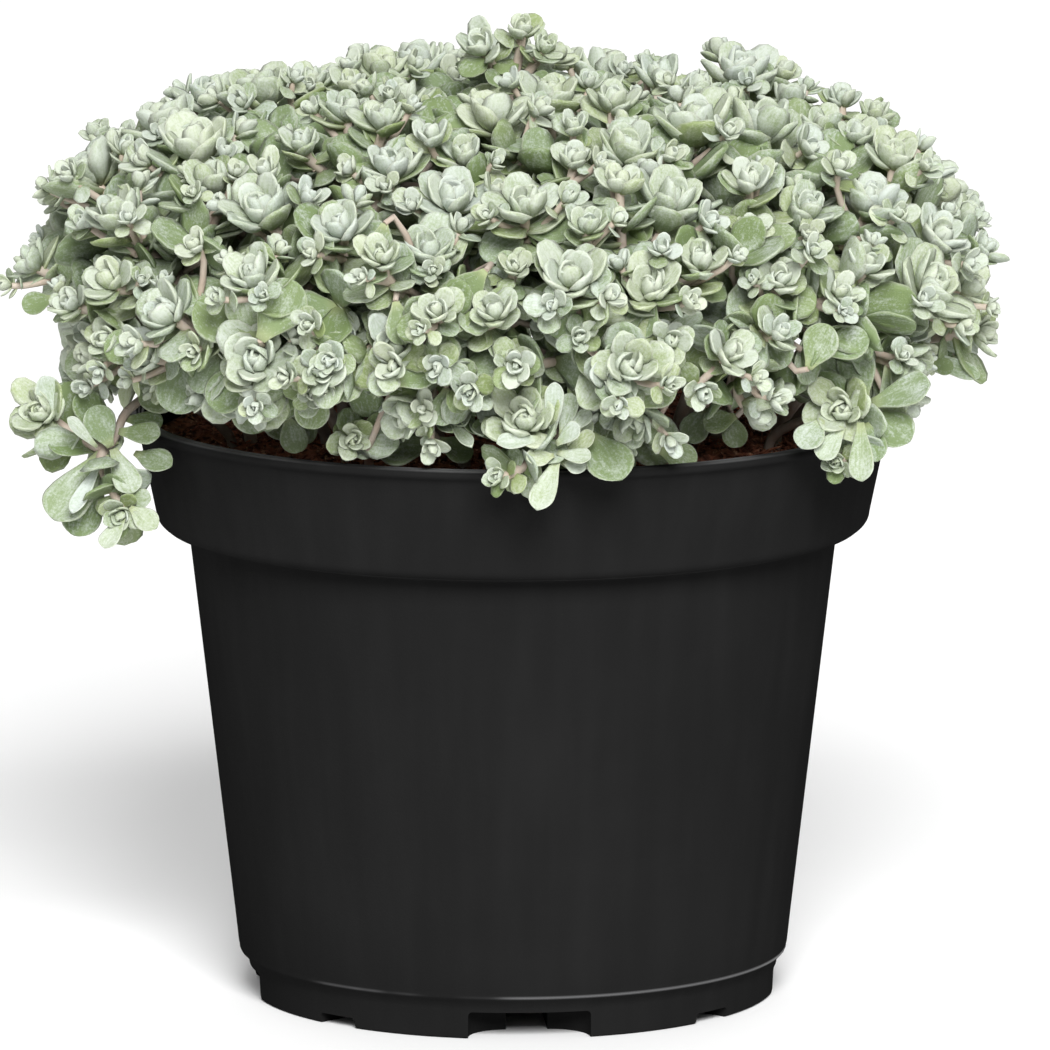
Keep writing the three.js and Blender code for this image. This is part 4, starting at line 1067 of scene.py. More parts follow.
def leaf_shape(name, widest, foot, thick, cup, curl, fine):
    """One leaf, one metre long along +X, with its upper side up. Points carry where they lie."""
    ways, angles = FINE_STATIONS if fine else PLAIN_STATIONS
    section = FINE_SECTION if fine else PLAIN_SECTION
    middle = 1 - widest
    outline = [(way * middle, foot + (widest - foot) * math.sin(math.pi / 2 * way) ** 1.5) for way in ways]
    outline += [(middle + widest * math.sin(math.radians(angle)), widest * math.cos(math.radians(angle)))
                for angle in angles]
    points, sides, along, faces = [], [], [], []
    count = len(section)

    def bent(s):
        return math.sin(curl * s) / curl, (1 - math.cos(curl * s)) / curl, curl * s

    for s, width in outline:
        x, z, slope = bent(s)
        body = (thick * (0.62 + 0.38 * math.sin(math.pi * min(s * 1.1, 1)))
                * (1 - 0.35 * max(0, s - 0.8) / 0.2))
        for side, face in section:
            over = (0.16 * face if face > 0 else 0.84 * face if face < 0 else -0.25) * body
            lift = cup * width * side * side + over * (1 - 0.45 * abs(side))
            points.append((x - lift * math.sin(slope), side * width, z + lift * math.cos(slope)))
            sides.append(side)
            along.append(s)
    x, z, slope = bent(1.0)
    points.append((x, 0.0, z - 0.2 * thick))
    sides.append(1.0)
    along.append(1.0)
    for band in range(len(outline) - 1):
        for k in range(count):
            a, b = band * count + k, band * count + (k + 1) % count
            faces.append((a, a + count, b + count, b))
    last = count * (len(outline) - 1)
    for k in range(count):
        faces.append((last + k, len(points) - 1, last + (k + 1) % count))
    faces.append(tuple(range(count)))
    mesh = bpy.data.meshes.new(name)
    mesh.from_pydata(points, [], faces)
    mesh.polygons.foreach_set("use_smooth", [True] * len(faces))
    store(mesh, "side", "FLOAT", sides)
    store(mesh, "along", "FLOAT", along)
    return mesh


def hangs_low(point):
    """Whether a point would be seen in one of the openings over the peat."""
    height = (point[2] - SIGHT_HEIGHT) * math.cos(SIGHT_SLOPE) + point[1] * math.sin(SIGHT_SLOPE)
    return point[1] < 0 and any(low < point[0] < high and height < top for low, high, top in PEAT_WINDOWS)


# How far leaves lean out from the axis, in degrees: the first ones, and how much more the last ones
ROSETTE_LEAN = 8
ROSETTE_OPENING = 60
SKIRT_LEAN = 66
SKIRT_OPENING = 24


class Foliage:
    """The leaves and stems of one shoot, gathered before they are made."""

    def __init__(self, leaf_size=1.0):
        self.leaf_size = leaf_size
        self.middles = []
        self.places, self.turns, self.sizes, self.kinds, self.ages, self.tints = [], [], [], [], [], []
        self.paths = []

    def leaf(self, kind, foot, along, top, size, width=1.0, age=0.0, tint=0.0, seen=False):
        """A leaf with its shape, foot, way, upper side, length, width, age and warmth of colour.

        Leaves that aren't placed as seen are turned a little, and left out where they would hide the peat.
        """
        along = unit(along)
        size *= self.leaf_size
        if not seen:
            if hangs_low(foot + size * along):
                return
            top = top + spread(len(self.places), 17, 0.3) * np.cross(top, along)
        top = unit(top - (top @ along) * along)
        side = np.cross(top, along)
        turn = Matrix((along, side, top)).transposed().to_quaternion()
        self.middles.append(foot + 0.6 * size * along)
        self.places.append(foot)
        self.turns.append(turn)
        self.sizes.append((size, size * width, size))
        self.kinds.append(kind)
        self.ages.append(clamp(age, 0.0, 1.0))
        self.tints.append(tint)

    def rosette(self, head, count, index, age=0.0, open_=1.0):
        """Leaves in golden-angle order, from an upright heart out to a wide, cupped skirt."""
        u, v = square_to(head.axis)
        start = 2 * math.pi * draw(index, 20)
        age += 0.22 * draw(index, 21)
        warmth = 0.5 * draw(index, 22)
        self.leaf(YOUNG, head.centre - 0.28 * head.radius * head.axis, head.axis + 0.1 * u, -u,
                  0.42 * head.radius, 1.2, age, warmth)
        for i in range(count):
            t = i / (count - 1)
            turn = start + i * GOLDEN + spread(i, index + 0.5, 0.2)
            lean = math.radians(ROSETTE_LEAN + ROSETTE_OPENING * t ** 1.05 * open_)
            lean += spread(i, index + 1.5, 0.17)
            share = 0.52 + 0.92 * t - 0.26 * t * t
            size = head.radius * share * (1 + spread(i, index + 2.5, 0.15))
            out = spoke(u, v, turn)
            along, top = leaned(out, head.axis, lean)
            foot = head.centre - head.axis * head.radius * (0.3 + 0.14 * t) + out * 0.07 * head.radius
            kind = YOUNG if t < 0.45 else FULL if draw(i, index + 12.5) < 0.5 else WIDE
            self.leaf(kind, foot, along, top, size, 1.08 - 0.1 * t + spread(i, index + 3.5, 0.13),
                      age + 0.3 * t * t + spread(i, index + 13.5, 0.12),
                      warmth + 0.5 * draw(i, index + 4.5))

    def skirt(self, head, back, count, index, reach=1.0, age=0.5):
        """Older leaves on the stalk below a rosette, larger, greener and more level."""
        u, v = square_to(head.axis)
        start = 2 * math.pi * draw(index, 30)
        for i in range(count):
            turn = start + i * GOLDEN + spread(i, index + 5.5, 0.2)
            lean = math.radians(SKIRT_LEAN + SKIRT_OPENING * i / (count - 1))
            lean += spread(i, index + 6.5, 0.2)
            size = reach * head.radius * (1.22 + spread(i, index + 7.5, 0.18))
            along, top = leaned(spoke(u, v, turn), head.axis, lean)
            foot = head.neck() + back * (0.1 + 0.24 * i) * head.radius
            self.leaf(OLD if draw(i, index + 8.5) < 0.7 else DROOPING, foot, along, top, size,
                      1.05 + spread(i, index + 9.5, 0.12), age + 0.45 * draw(i, index + 10.5),
                      draw(i, index + 11.5))

    def old_leaves(self, line, spacing, size, index, first=0.0, last=1.0, age=0.6):
        """Old leaves at even spaces along a stem, turned by the golden angle."""
        lengths = [0.0]
        for start, end in zip(line, line[1:]):
            lengths.append(lengths[-1] + length(end - start))
        place, number = first * lengths[-1] + 0.5 * spacing, 0
        while place < last * lengths[-1]:
            k = next(k for k in range(1, len(line)) if lengths[k] >= place)
            part = (place - lengths[k - 1]) / (lengths[k] - lengths[k - 1])
            foot = line[k - 1] + part * (line[k] - line[k - 1])
            way = unit(line[k] - line[k - 1])
            u, v = square_to(way)
            turn = number * GOLDEN + 2 * math.pi * draw(index, 50)
            lean = math.radians(58 + 34 * draw(number, index + 51))
            along, top = leaned(spoke(u, v, turn), way, lean)
            own = size * (0.82 + 0.36 * draw(number, index + 52))
            self.leaf(OLD if draw(number, index + 53) < 0.65 else DROOPING, foot, along, top, own,
                      0.95 + spread(number, index + 54, 0.1), age + spread(number, index + 55, 0.25),
                      0.6 * draw(number, index + 56))
            place += spacing
            number += 1

    def stalk(self, start, start_way, end, end_way, radii, ages, steps=7):
        """A smooth stem from one point to another that leaves and arrives in the ways given."""
        reach = 0.9 * length(end - start)
        points = []
        for k in range(steps + 1):
            t = k / steps
            points.append((2 * t ** 3 - 3 * t ** 2 + 1) * start
                          + (t ** 3 - 2 * t ** 2 + t) * reach * start_way
                          + (3 * t ** 2 - 2 * t ** 3) * end + (t ** 3 - t ** 2) * reach * end_way)
        shares = np.linspace(0, 1, steps + 1)
        self.paths.append((points, np.interp(shares, (0, 1), radii), np.interp(shares, (0, 1), ages)))
        return points


def points_object(foliage):
    """The feet of a shoot's leaves, one point each, with how each leaf lies."""
    mesh = bpy.data.meshes.new("leaf feet")
    mesh.from_pydata(in_metres(foliage.places), [], [])
    store(mesh, "turn", "QUATERNION", [c for turn in foliage.turns for c in turn])
    store(mesh, "size", "FLOAT_VECTOR", [c for size in in_metres(foliage.sizes) for c in size])
    store(mesh, "kind", "INT", foliage.kinds)
    store(mesh, "age", "FLOAT", foliage.ages)
    store(mesh, "tint", "FLOAT", foliage.tints)
    return in_scene("leaf feet", mesh)


def paths_object(foliage):
    """The stems of a shoot as chains of points, with their thickness and age along them."""
    points, edges, radii, ages = [], [], [], []
    for line, line_radii, line_ages in foliage.paths:
        edges += [(len(points) + k, len(points) + k + 1) for k in range(len(line) - 1)]
        points += in_metres(line)
        radii += [float(radius) * MM for radius in line_radii]
        ages += [float(age) for age in line_ages]
    mesh = bpy.data.meshes.new("stem paths")
    mesh.from_pydata(points, edges, [])
    store(mesh, "thickness", "FLOAT", radii)
    store(mesh, "age", "FLOAT", ages)
    return in_scene("stem paths", mesh)


def new_tree(name, inputs):
    """A tree that takes and gives a geometry. Inputs: name, kind, then the default, least and most."""
    tree = bpy.data.node_groups.new(name, "GeometryNodeTree")
    for label, kind, *numbers in [("Geometry", "Geometry"), *inputs]:
        socket = tree.interface.new_socket(label, in_out="INPUT", socket_type=f"NodeSocket{kind}")
        for setting, number in zip(("default_value", "min_value", "max_value"), numbers):
            setattr(socket, setting, number)
    tree.interface.new_socket("Geometry", in_out="OUTPUT", socket_type="NodeSocketGeometry")
    return tree


def leafy_shoot_tree():
    """Sets a leaf on every foot, sweeps the stems along their paths and joins the two."""
    tree = new_tree("leafy shoot", [
        ("Leaf Shapes", "Collection"), ("Stem Paths", "Object"), ("Stem Sides", "Int", 8, 3, 32),
        ("Leaf Wobble", "Float", 0.06, 0.0, 1.0), ("Seed", "Int", 7, 0, 1000),
        ("Leaf Material", "Material"), ("Stem Material", "Material")])
    graph = Graph(tree)
    given = graph.node("NodeGroupInput")

    def named(label, data_type):
        made = graph.node("GeometryNodeInputNamedAttribute", {"data_type": data_type}, {"Name": label})
        return made.out("Attribute")

    shapes = graph.node("GeometryNodeCollectionInfo", None, {
        "Collection": given.out("Leaf Shapes"), "Separate Children": True, "Reset Children": True})
    feet = graph.node("GeometryNodeMeshToPoints", None, {"Mesh": given.out("Geometry")})
    leaves = graph.node("GeometryNodeInstanceOnPoints", None, {
        "Points": feet.out("Points"),
        "Instance": shapes.out("Instances"),
        "Pick Instance": True,
        "Instance Index": named("kind", "INT"),
        "Rotation": named("turn", "QUATERNION"),
        "Scale": named("size", "FLOAT_VECTOR"),
    })
    wobble = graph.node("FunctionNodeRandomValue", {"data_type": "FLOAT_VECTOR"}, {
        "Min": (-1.0, -1.0, -1.0), "Max": (1.0, 1.0, 1.0), "Seed": given.out("Seed")})
    scaled = graph.node("ShaderNodeVectorMath", {"operation": "SCALE"}, {
        0: wobble.out("Value"), "Scale": given.out("Leaf Wobble")}).out("Vector")
    turned = graph.node("GeometryNodeRotateInstances", None, {
        "Instances": leaves.out("Instances"), "Rotation": scaled})
    real = graph.node("GeometryNodeRealizeInstances", None, {"Geometry": turned.out("Instances")})
    green = graph.node("GeometryNodeSetMaterial", None, {
        "Geometry": real.out("Geometry"), "Material": given.out("Leaf Material")})
    paths = graph.node("GeometryNodeObjectInfo", None, {"Object": given.out("Stem Paths")})
    ring = graph.node("GeometryNodeCurvePrimitiveCircle", {"mode": "RADIUS"}, {
        "Resolution": given.out("Stem Sides"), "Radius": 1.0})
    lines = graph.node("GeometryNodeMeshToCurve", None, {"Mesh": paths.out("Geometry")})
    swept = graph.node("GeometryNodeCurveToMesh", None, {
        "Curve": lines.out("Curve"), "Profile Curve": ring.out("Curve"),
        "Scale": named("thickness", "FLOAT"), "Fill Caps": True})
    smooth = graph.node("GeometryNodeSetShadeSmooth", None, {"Geometry": swept.out("Mesh")})
    pink = graph.node("GeometryNodeSetMaterial", None, {
        "Geometry": smooth.out("Geometry"), "Material": given.out("Stem Material")})
    both = graph.node("GeometryNodeJoinGeometry")
    tree.links.new(pink.out("Geometry").socket, both.node.inputs[0])
    tree.links.new(green.out("Geometry").socket, both.node.inputs[0])
    graph.node("NodeGroupOutput", None, {"Geometry": both.out("Geometry")})
    return tree


def grown_mesh(name, carrier, tree, values):
    """What a tree of nodes makes of an object, as a plain mesh. The object itself is removed."""
    modifier = carrier.modifiers.new(tree.name, "NODES")
    modifier.node_group = tree
    identifiers = {item.name: item.identifier for item in tree.interface.items_tree
                   if item.item_type == "SOCKET" and item.in_out == "INPUT"}
    for label, value in values.items():
        modifier[identifiers[label]] = value
    carrier.update_tag()
    mesh = bpy.data.meshes.new_from_object(carrier.evaluated_get(bpy.context.evaluated_depsgraph_get()))
    mesh.name = name
    carrier.modifiers.remove(modifier)
    bpy.data.objects.remove(carrier)
    return mesh


def drop(collection):
    """Removes a collection of shapes that only a tree needed."""
    for shape in list(collection.objects):
        bpy.data.objects.remove(shape)
    bpy.data.collections.remove(collection)


# Dressing the plan

# Main stems go this deep into the peat and stay upright until a little above it
STEM_DEPTH = 5
STEM_UPRIGHT = 7
# Radius of a main stem of the mound and of a free shoot, and how much of it is lost up to the fork
MOUND_STEM = 1.1
FREE_STEM = 0.85
STEM_TAPER = 0.3
# Radius of a stalk at the fork and at its rosette
STALK_RADII = (0.85, 0.72)
# Placed leaves that are narrower than this share of their length have the form of a spoon
SPOON_SHARE = 0.31
# A planned rosette of the mound's hidden parts that is larger than this becomes a cluster: a smaller
# main rosette with more side rosettes round it
CLUSTER_RADIUS = 6.4
CLUSTER_SHARE = 0.78
MAIN_SHARE = 0.87
# Side rosettes: share of the main one's radius, their least and greatest radius, and how much younger
SIDE_SHARE = 0.5
SIDE_SIZES = (2.3, 4.0)
SIDE_AGE = -0.14
# Rosettes look older from this height downwards, over this many millimetres
AGEING_HEIGHT = 112
AGEING_DEPTH = 26
# Stalks that fork above this height are bare
BARE_HEIGHT = 130


def offset_sites(head, heads, taken, count, index):
    """Places round a rosette where small side rosettes have room, the roomiest first."""
    u, v = square_to(head.axis)
    start = 2 * math.pi * draw(index, 40)
    sites = []
    for k in range(9):
        turn = start + 2 * math.pi * k / 9
        slope = math.radians(62 + 20 * draw(index, 41 + k))
        way, _ = leaned(spoke(u, v, turn), head.axis, slope)
        radius = clamp(SIDE_SHARE * head.radius * (1 + spread(index, 60 + k, 0.15)), *SIDE_SIZES)
        centre = head.centre - 0.3 * head.radius * head.axis + way * (0.86 * head.radius + 0.72 * radius)
        room = min([length(centre - other.centre) - 0.78 * other.radius
                    for other in heads if other.index != head.index or other.radius < head.radius]
                   + [length(centre - other.centre) - 0.85 * other.radius for other in taken])
        if room > 0.7 * radius and not hangs_low(centre - vec(0, 0, 1.3 * radius)):
            facing = unit(0.75 * way + 0.45 * head.axis + vec(0, -0.1, 0.25))
            sites.append((room, Head(index * 10 + k, centre, facing, radius)))
    sites.sort(key=lambda site: -site[0])
    chosen = []
    for _, site in sites:
        if len(chosen) < count and all(
                length(site.centre - other.centre) > 0.95 * (site.radius + other.radius) for other in chosen):
            chosen.append(site)
    return chosen


def stem_way(shoot):
    line = [vec(shoot.root[0], shoot.root[1], SOIL_EDGE_HEIGHT), *shoot.stem]
    return unit(line[-1] - line[-2])


def turned_up(shoots):
    """Rosettes on the mound's sides turn up towards the light."""
    for shoot in shoots:
        for head in shoot.heads:
            away = unit(head.centre - shoot.stem[-1])
            axis = unit(head.axis + vec(spread(head.index, 15, 0.25), spread(head.index, 16, 0.2), 0.55))
            while axis @ away < 0.3:
                axis = unit(axis + 0.1 * away)
            head.axis = axis


def as_seen(shoots):
    """Rosettes and forks of the free shoots are moved a little, to where they are seen."""
    for shoot in shoots:
        for index, shift, axis, larger in SEEN_FORMS.get(shoot.name, []):
            if index is None:
                shoot.stem[-1] = shoot.stem[-1] + vec(*shift)
            for head in shoot.heads:
                if head.index == index:
                    head.centre = head.centre + vec(*shift)
                    head.axis = unit(vec(*axis))
                    head.radius *= larger


def grow_stem(foliage, shoot):
    """The main stem, from deep in the peat up to its fork. Gives the way that it arrives there."""
    x, y = shoot.root[0], shoot.root[1]
    ground = vec(x, y, soil_height(x, y) - STEM_DEPTH)
    fork = shoot.stem[-1]
    knots = [ground, ground + vec(0, 0, STEM_UPRIGHT), *shoot.stem]
    ways = [vec(0, 0, 1)]
    for before, after in zip(knots, knots[2:]):
        ways.append(unit(after - before))
    ways.append(unit(0.5 * (knots[-1] - knots[-2]) / length(knots[-1] - knots[-2])
                     + 0.5 * unit(shoot.heads[0].neck() - fork)))
    thick = MOUND_STEM if shoot.collar is not None else FREE_STEM
    for k in range(len(knots) - 1):
        share, step = k / len(knots), 1 / len(knots)
        foliage.stalk(knots[k], ways[k], knots[k + 1], ways[k + 1],
                      (thick * (1 - STEM_TAPER * share), thick * (1 - STEM_TAPER * (share + step))),
                      (1 - share, 1 - share - step), 5)
    return ways[-1]


def grow_head(foliage, shoot, head, stem_end, heads, taken):
    """A stalk with its rosette, the older leaves below it and, on the mound, side rosettes."""
    on_mound = shoot.collar is not None
    fork = shoot.stem[-1]
    start_way = unit(stem_end + 0.8 * unit(head.neck() - fork))
    line = foliage.stalk(fork, start_way, head.neck() + 0.2 * head.radius * head.axis, head.axis,
                         STALK_RADII, (0.35, 0.0))
    back = unit(line[-3] - line[-1])
    cluster = on_mound and head.index >= 100 and head.radius > CLUSTER_RADIUS
    share = CLUSTER_SHARE if cluster else MAIN_SHARE
    main = Head(head.index, head.centre, head.axis, head.radius * share)
    low = clamp((AGEING_HEIGHT - head.centre[2]) / AGEING_DEPTH, 0.0, 1.0)
    leaves = 16 if main.radius > 6 else 14 if main.radius > 5 else 12
    foliage.rosette(main, leaves, head.index, 0.16 * low)
    foliage.skirt(main, back, 7, head.index, 1.15 if cluster else 1.06, 0.5 + 0.15 * low)
    if fork[2] < BARE_HEIGHT:
        foliage.old_leaves(line, 1.8, 8.0, head.index, 0.12, 0.8, 0.78)
    if not on_mound:
        return
    sides = 4 if cluster else 2 if head.radius > 6 else int(head.radius > 4.4)
    for site in offset_sites(main, heads, taken, sides, head.index):
        taken.append(site)
        start = head.neck() + back * (0.5 + 0.5 * draw(site.index, 3)) * head.radius
        foliage.stalk(start, unit(site.centre - start - 0.4 * back), site.neck() + 0.1 * site.axis,
                      site.axis, (0.6, 0.5), (0.15, 0.0), 4)
        foliage.rosette(site, 8, site.index, SIDE_AGE, 0.9)
        foliage.skirt(site, -site.axis, 3, site.index, 1.0, 0.25)


def grow_placed(foliage, shoot):
    """The leaves of a free shoot that can be told apart in the photo, as they are seen there."""
    for placed in PLACED_LEAVES.get(shoot.name, []):
        foot_across, foot_height, tip_across, tip_height, half, foot_y, tip_y, age, warm = placed
        foot = sight_point(foot_across, foot_height, foot_y)
        tip = sight_point(tip_across, tip_height, tip_y)
        size = length(tip - foot)
        side = spread(half * 10, tip_across, 0.35)
        age += 0.16 * clamp(2.5 * age - 1, 0.0, 1.0)
        kind = SPOON if half / size < SPOON_SHARE else LARGE
        width = clamp(half / size / LEAF_SHAPES[kind][1], 0.5, 1.4)
        foliage.leaf(kind, foot, tip - foot, vec(side, -0.8, 0.5), size, width, age, warm, True)


def grow_collar(foliage, shoot):
    """Old leaves round a stem of the mound, close below its fork and further down."""
    first = shoot.heads[0].index
    axis = stem_way(shoot)
    u, v = square_to(axis)
    for i in range(8):
        turn = i * GOLDEN + 2 * math.pi * draw(first, 70)
        lean = math.radians(70 + 25 * draw(i, first + 71))
        along, top = leaned(spoke(u, v, turn), axis, lean)
        foliage.leaf(OLD, shoot.collar - axis * (i - 4) * 0.9, along, top,
                     shoot.reach * (0.85 + 0.15 * draw(i, first + 72)), 0.9,
                     0.7 + 0.3 * draw(i, first + 73), 0.3)
    foliage.old_leaves([shoot.stem[0], shoot.stem[-1]], 1.7, 9.5, first + 700, 0.1, 1.0, 0.85)


def grow_shoot(shoot, heads, taken, plant):
    """Everything that one shoot bears: stem, stalks, rosettes, side rosettes and old leaves."""
    foliage = Foliage(plant.leaf_size)
    stem_end = grow_stem(foliage, shoot)
    for head in shoot.heads:
        grow_head(foliage, shoot, head, stem_end, heads, taken)
    grow_placed(foliage, shoot)
    if shoot.collar is not None:
        grow_collar(foliage, shoot)
    return foliage


def seen_extras(shoots):
    """Small rosettes and old leaves that are seen between the others, for the nearest shoots."""
    extras = {shoot.name: [] for shoot in shoots}
    for index, (across, height, radius) in enumerate(SEEN_OFFSETS):
        centre = seen_point(across, height) - 1.5 * SIGHT
        axis = unit(mound_facing(centre) + vec(0, -0.4, 0.3))
        site = Head(600 + index, centre, axis, radius)
        _, shoot, head = min(((length(head.centre - centre), shoot, head)
                              for shoot in shoots for head in shoot.heads), key=lambda entry: entry[0])
        extras[shoot.name].append(("offset", site, head))
    for index, (across, height, half_width, bearing) in enumerate(SEEN_OLD_LEAVES):
        centre = seen_point(across, height) + 3.0 * SIGHT
        shoot = min((shoot for shoot in shoots if shoot.collar is not None),
                    key=lambda shoot: length(shoot.stem[-1] - centre))
        extras[shoot.name].append(("leaf", centre, half_width, bearing, index))
    return extras


def add_extras(foliage, shoot, extras):
    """The side rosettes and old leaves that seen_extras found for one shoot."""
    for extra in extras:
        if extra[0] == "offset":
            _, site, head = extra
            start = head.neck() - 0.6 * head.radius * head.axis
            foliage.stalk(start, unit(site.centre - start), site.neck(), site.axis, (0.65, 0.5),
                          (0.2, 0.0), 5)
            foliage.rosette(site, 9, site.index, SIDE_AGE, 0.9)
            foliage.skirt(site, -site.axis, 3, site.index)
        else:
            _, centre, half_width, bearing, index = extra
            size = half_width / 0.37
            turn = math.radians(bearing)
            way = vec(math.cos(turn), 0.1, math.sin(turn))
            toward = unit(-SIGHT + vec(spread(index, 80, 0.25), 0, 0.35))
            foot = centre - unit(way) * 0.62 * size
            foliage.leaf(LARGE, foot, way, toward, size, 1.0, 0.75 + 0.25 * draw(index, 81),
                         0.4 * draw(index, 82), True)
            foliage.stalk(shoot.stem[-1], stem_way(shoot), foot, unit(way + 0.3 * stem_way(shoot)),
                          (0.7, 0.45), (0.4, 0.2), 5)


def fill_hollows(shoots, foliages):
    """Old leaves deep between the rosettes, wherever the others leave a hollow."""
    mound = [(shoot, foliage) for shoot, foliage in zip(shoots, foliages) if shoot.collar is not None]
    middles = np.array([middle for foliage in foliages for middle in foliage.middles])
    for depth, room, tries in HOLLOWS:
        for k in range(tries):
            surface = mound_point(mound_angle((k + 0.5) / tries), k * GOLDEN)
            facing = mound_facing(surface)
            place = surface - depth * facing
            if np.min(np.sum((middles - place) ** 2, axis=1)) < room * room:
                continue
            shoot, foliage = min(mound, key=lambda pair: length(pair[0].stem[-1] - place))
            before = len(foliage.middles)
            foot = place - 3.5 * facing
            u, v = square_to(facing)
            for i in range(3):
                turn = i * GOLDEN + 2 * math.pi * draw(k, 101)
                lean = math.radians(38 + 30 * draw(k + i, 102))
                along, top = leaned(spoke(u, v, turn), facing, lean)
                foliage.leaf(OLD if i else FULL, foot, along, top, 8.0 + 2.5 * draw(k + i, 103), 1.0,
                             0.75 + 0.25 * draw(k + i, 104), 0.2 * draw(k + i, 105))
            if len(foliage.middles) > before:
                middles = np.vstack([middles, *foliage.middles[before:]])
                foliage.stalk(shoot.stem[-1], stem_way(shoot), foot, facing, (0.6, 0.45), (0.5, 0.3), 4)


# Peat

def peat_mesh(soil):
    """The peat's body with a rough, clotted top."""
    sides, rings = 150, 44
    step = COLLAR_FOOT_HEIGHT - WALL
    top_radius = COLLAR_FOOT_RADIUS - WALL
    part = (SOIL_EDGE_HEIGHT - step - WALL) / (POT_HEIGHT - BEAD_HEIGHT - step - WALL)
    edge = top_radius + part * (COLLAR_TOP_RADIUS - COLLAR_FOOT_RADIUS) - SOIL_GAP - 0.2
    below = [
        (0, FLOOR_TOP + SOIL_GAP), (BODY_FOOT_RADIUS - WALL - SOIL_GAP, FLOOR_TOP + SOIL_GAP),
        (BODY_TOP_RADIUS - WALL - SOIL_GAP, step), (top_radius - SOIL_GAP, step + WALL),
    ]
    points = []
    rows = turned_rows(points, below, sides)
    for ring in range(rings):
        r = edge * (1 - ring / rings)
        rows.append(range(len(points), len(points) + sides))
        for k in range(sides):
            turn = 2 * math.pi * (k + 0.5 * (ring % 2)) / sides
            x, y = r * math.cos(turn), r * math.sin(turn)
            clots = (0.7 * noise.noise(Vector((x, y, 3.0)) * 0.42)
                     + 0.6 * noise.noise(Vector((x, y, 9.0)) * 1.1)
                     + 0.35 * noise.noise(Vector((x, y, 20.0)) * 2.3))
            rim = min(1.0, (edge - r) / 3)
            points.append((x, y, soil_height(x, y) + soil.clot_height / MM * clots * rim - 0.3))
    rows.append([len(points)])
    points.append((0, 0, soil_height(0, 0)))
    return mesh_from("peat", points, faces_between(rows, sides))


def crumb_shapes():
    """A few irregular crumbs and fibres of peat, one metre across, for the crumb tree."""
    shapes = bpy.data.collections.new("crumb shapes")
    for number in range(4):
        shape = bmesh.new()
        bmesh.ops.create_icosphere(shape, subdivisions=1, radius=0.5)
        for corner in shape.verts:
            corner.co *= 0.72 + 0.5 * draw(corner.index, 90 + number)
            corner.co.z *= 0.7
        mesh = bpy.data.meshes.new(f"crumb {number}")
        shape.to_mesh(mesh)
        shape.free()
        shapes.objects.link(bpy.data.objects.new(f"crumb {number}", mesh))
    for number in range(2):
        points, faces = [], []
        for ring in range(4):
            x = (ring / 3 - 0.5) * 3.6
            y = 0.4 * math.sin(2.2 * ring / 3 * math.pi * (0.5 + number))
            thick = 0.12 * (1.1 - abs(ring - 1.5) * 0.3)
            for k in range(3):
                turn = 2 * math.pi / 3 * k
                points.append((x, y + thick * math.cos(turn), thick * math.sin(turn) + 0.12 * ring * number))
        for ring in range(3):
            for k in range(3):
                n = (k + 1) % 3
                faces.append((3 * ring + k, 3 * ring + 3 + k, 3 * ring + 3 + n, 3 * ring + n))
        faces.append((0, 1, 2))
        faces.append((11, 10, 9))
        mesh = bpy.data.meshes.new(f"fibre {number}")
        mesh.from_pydata(points, [], faces)
        shapes.objects.link(bpy.data.objects.new(f"fibre {number}", mesh))
    return shapes


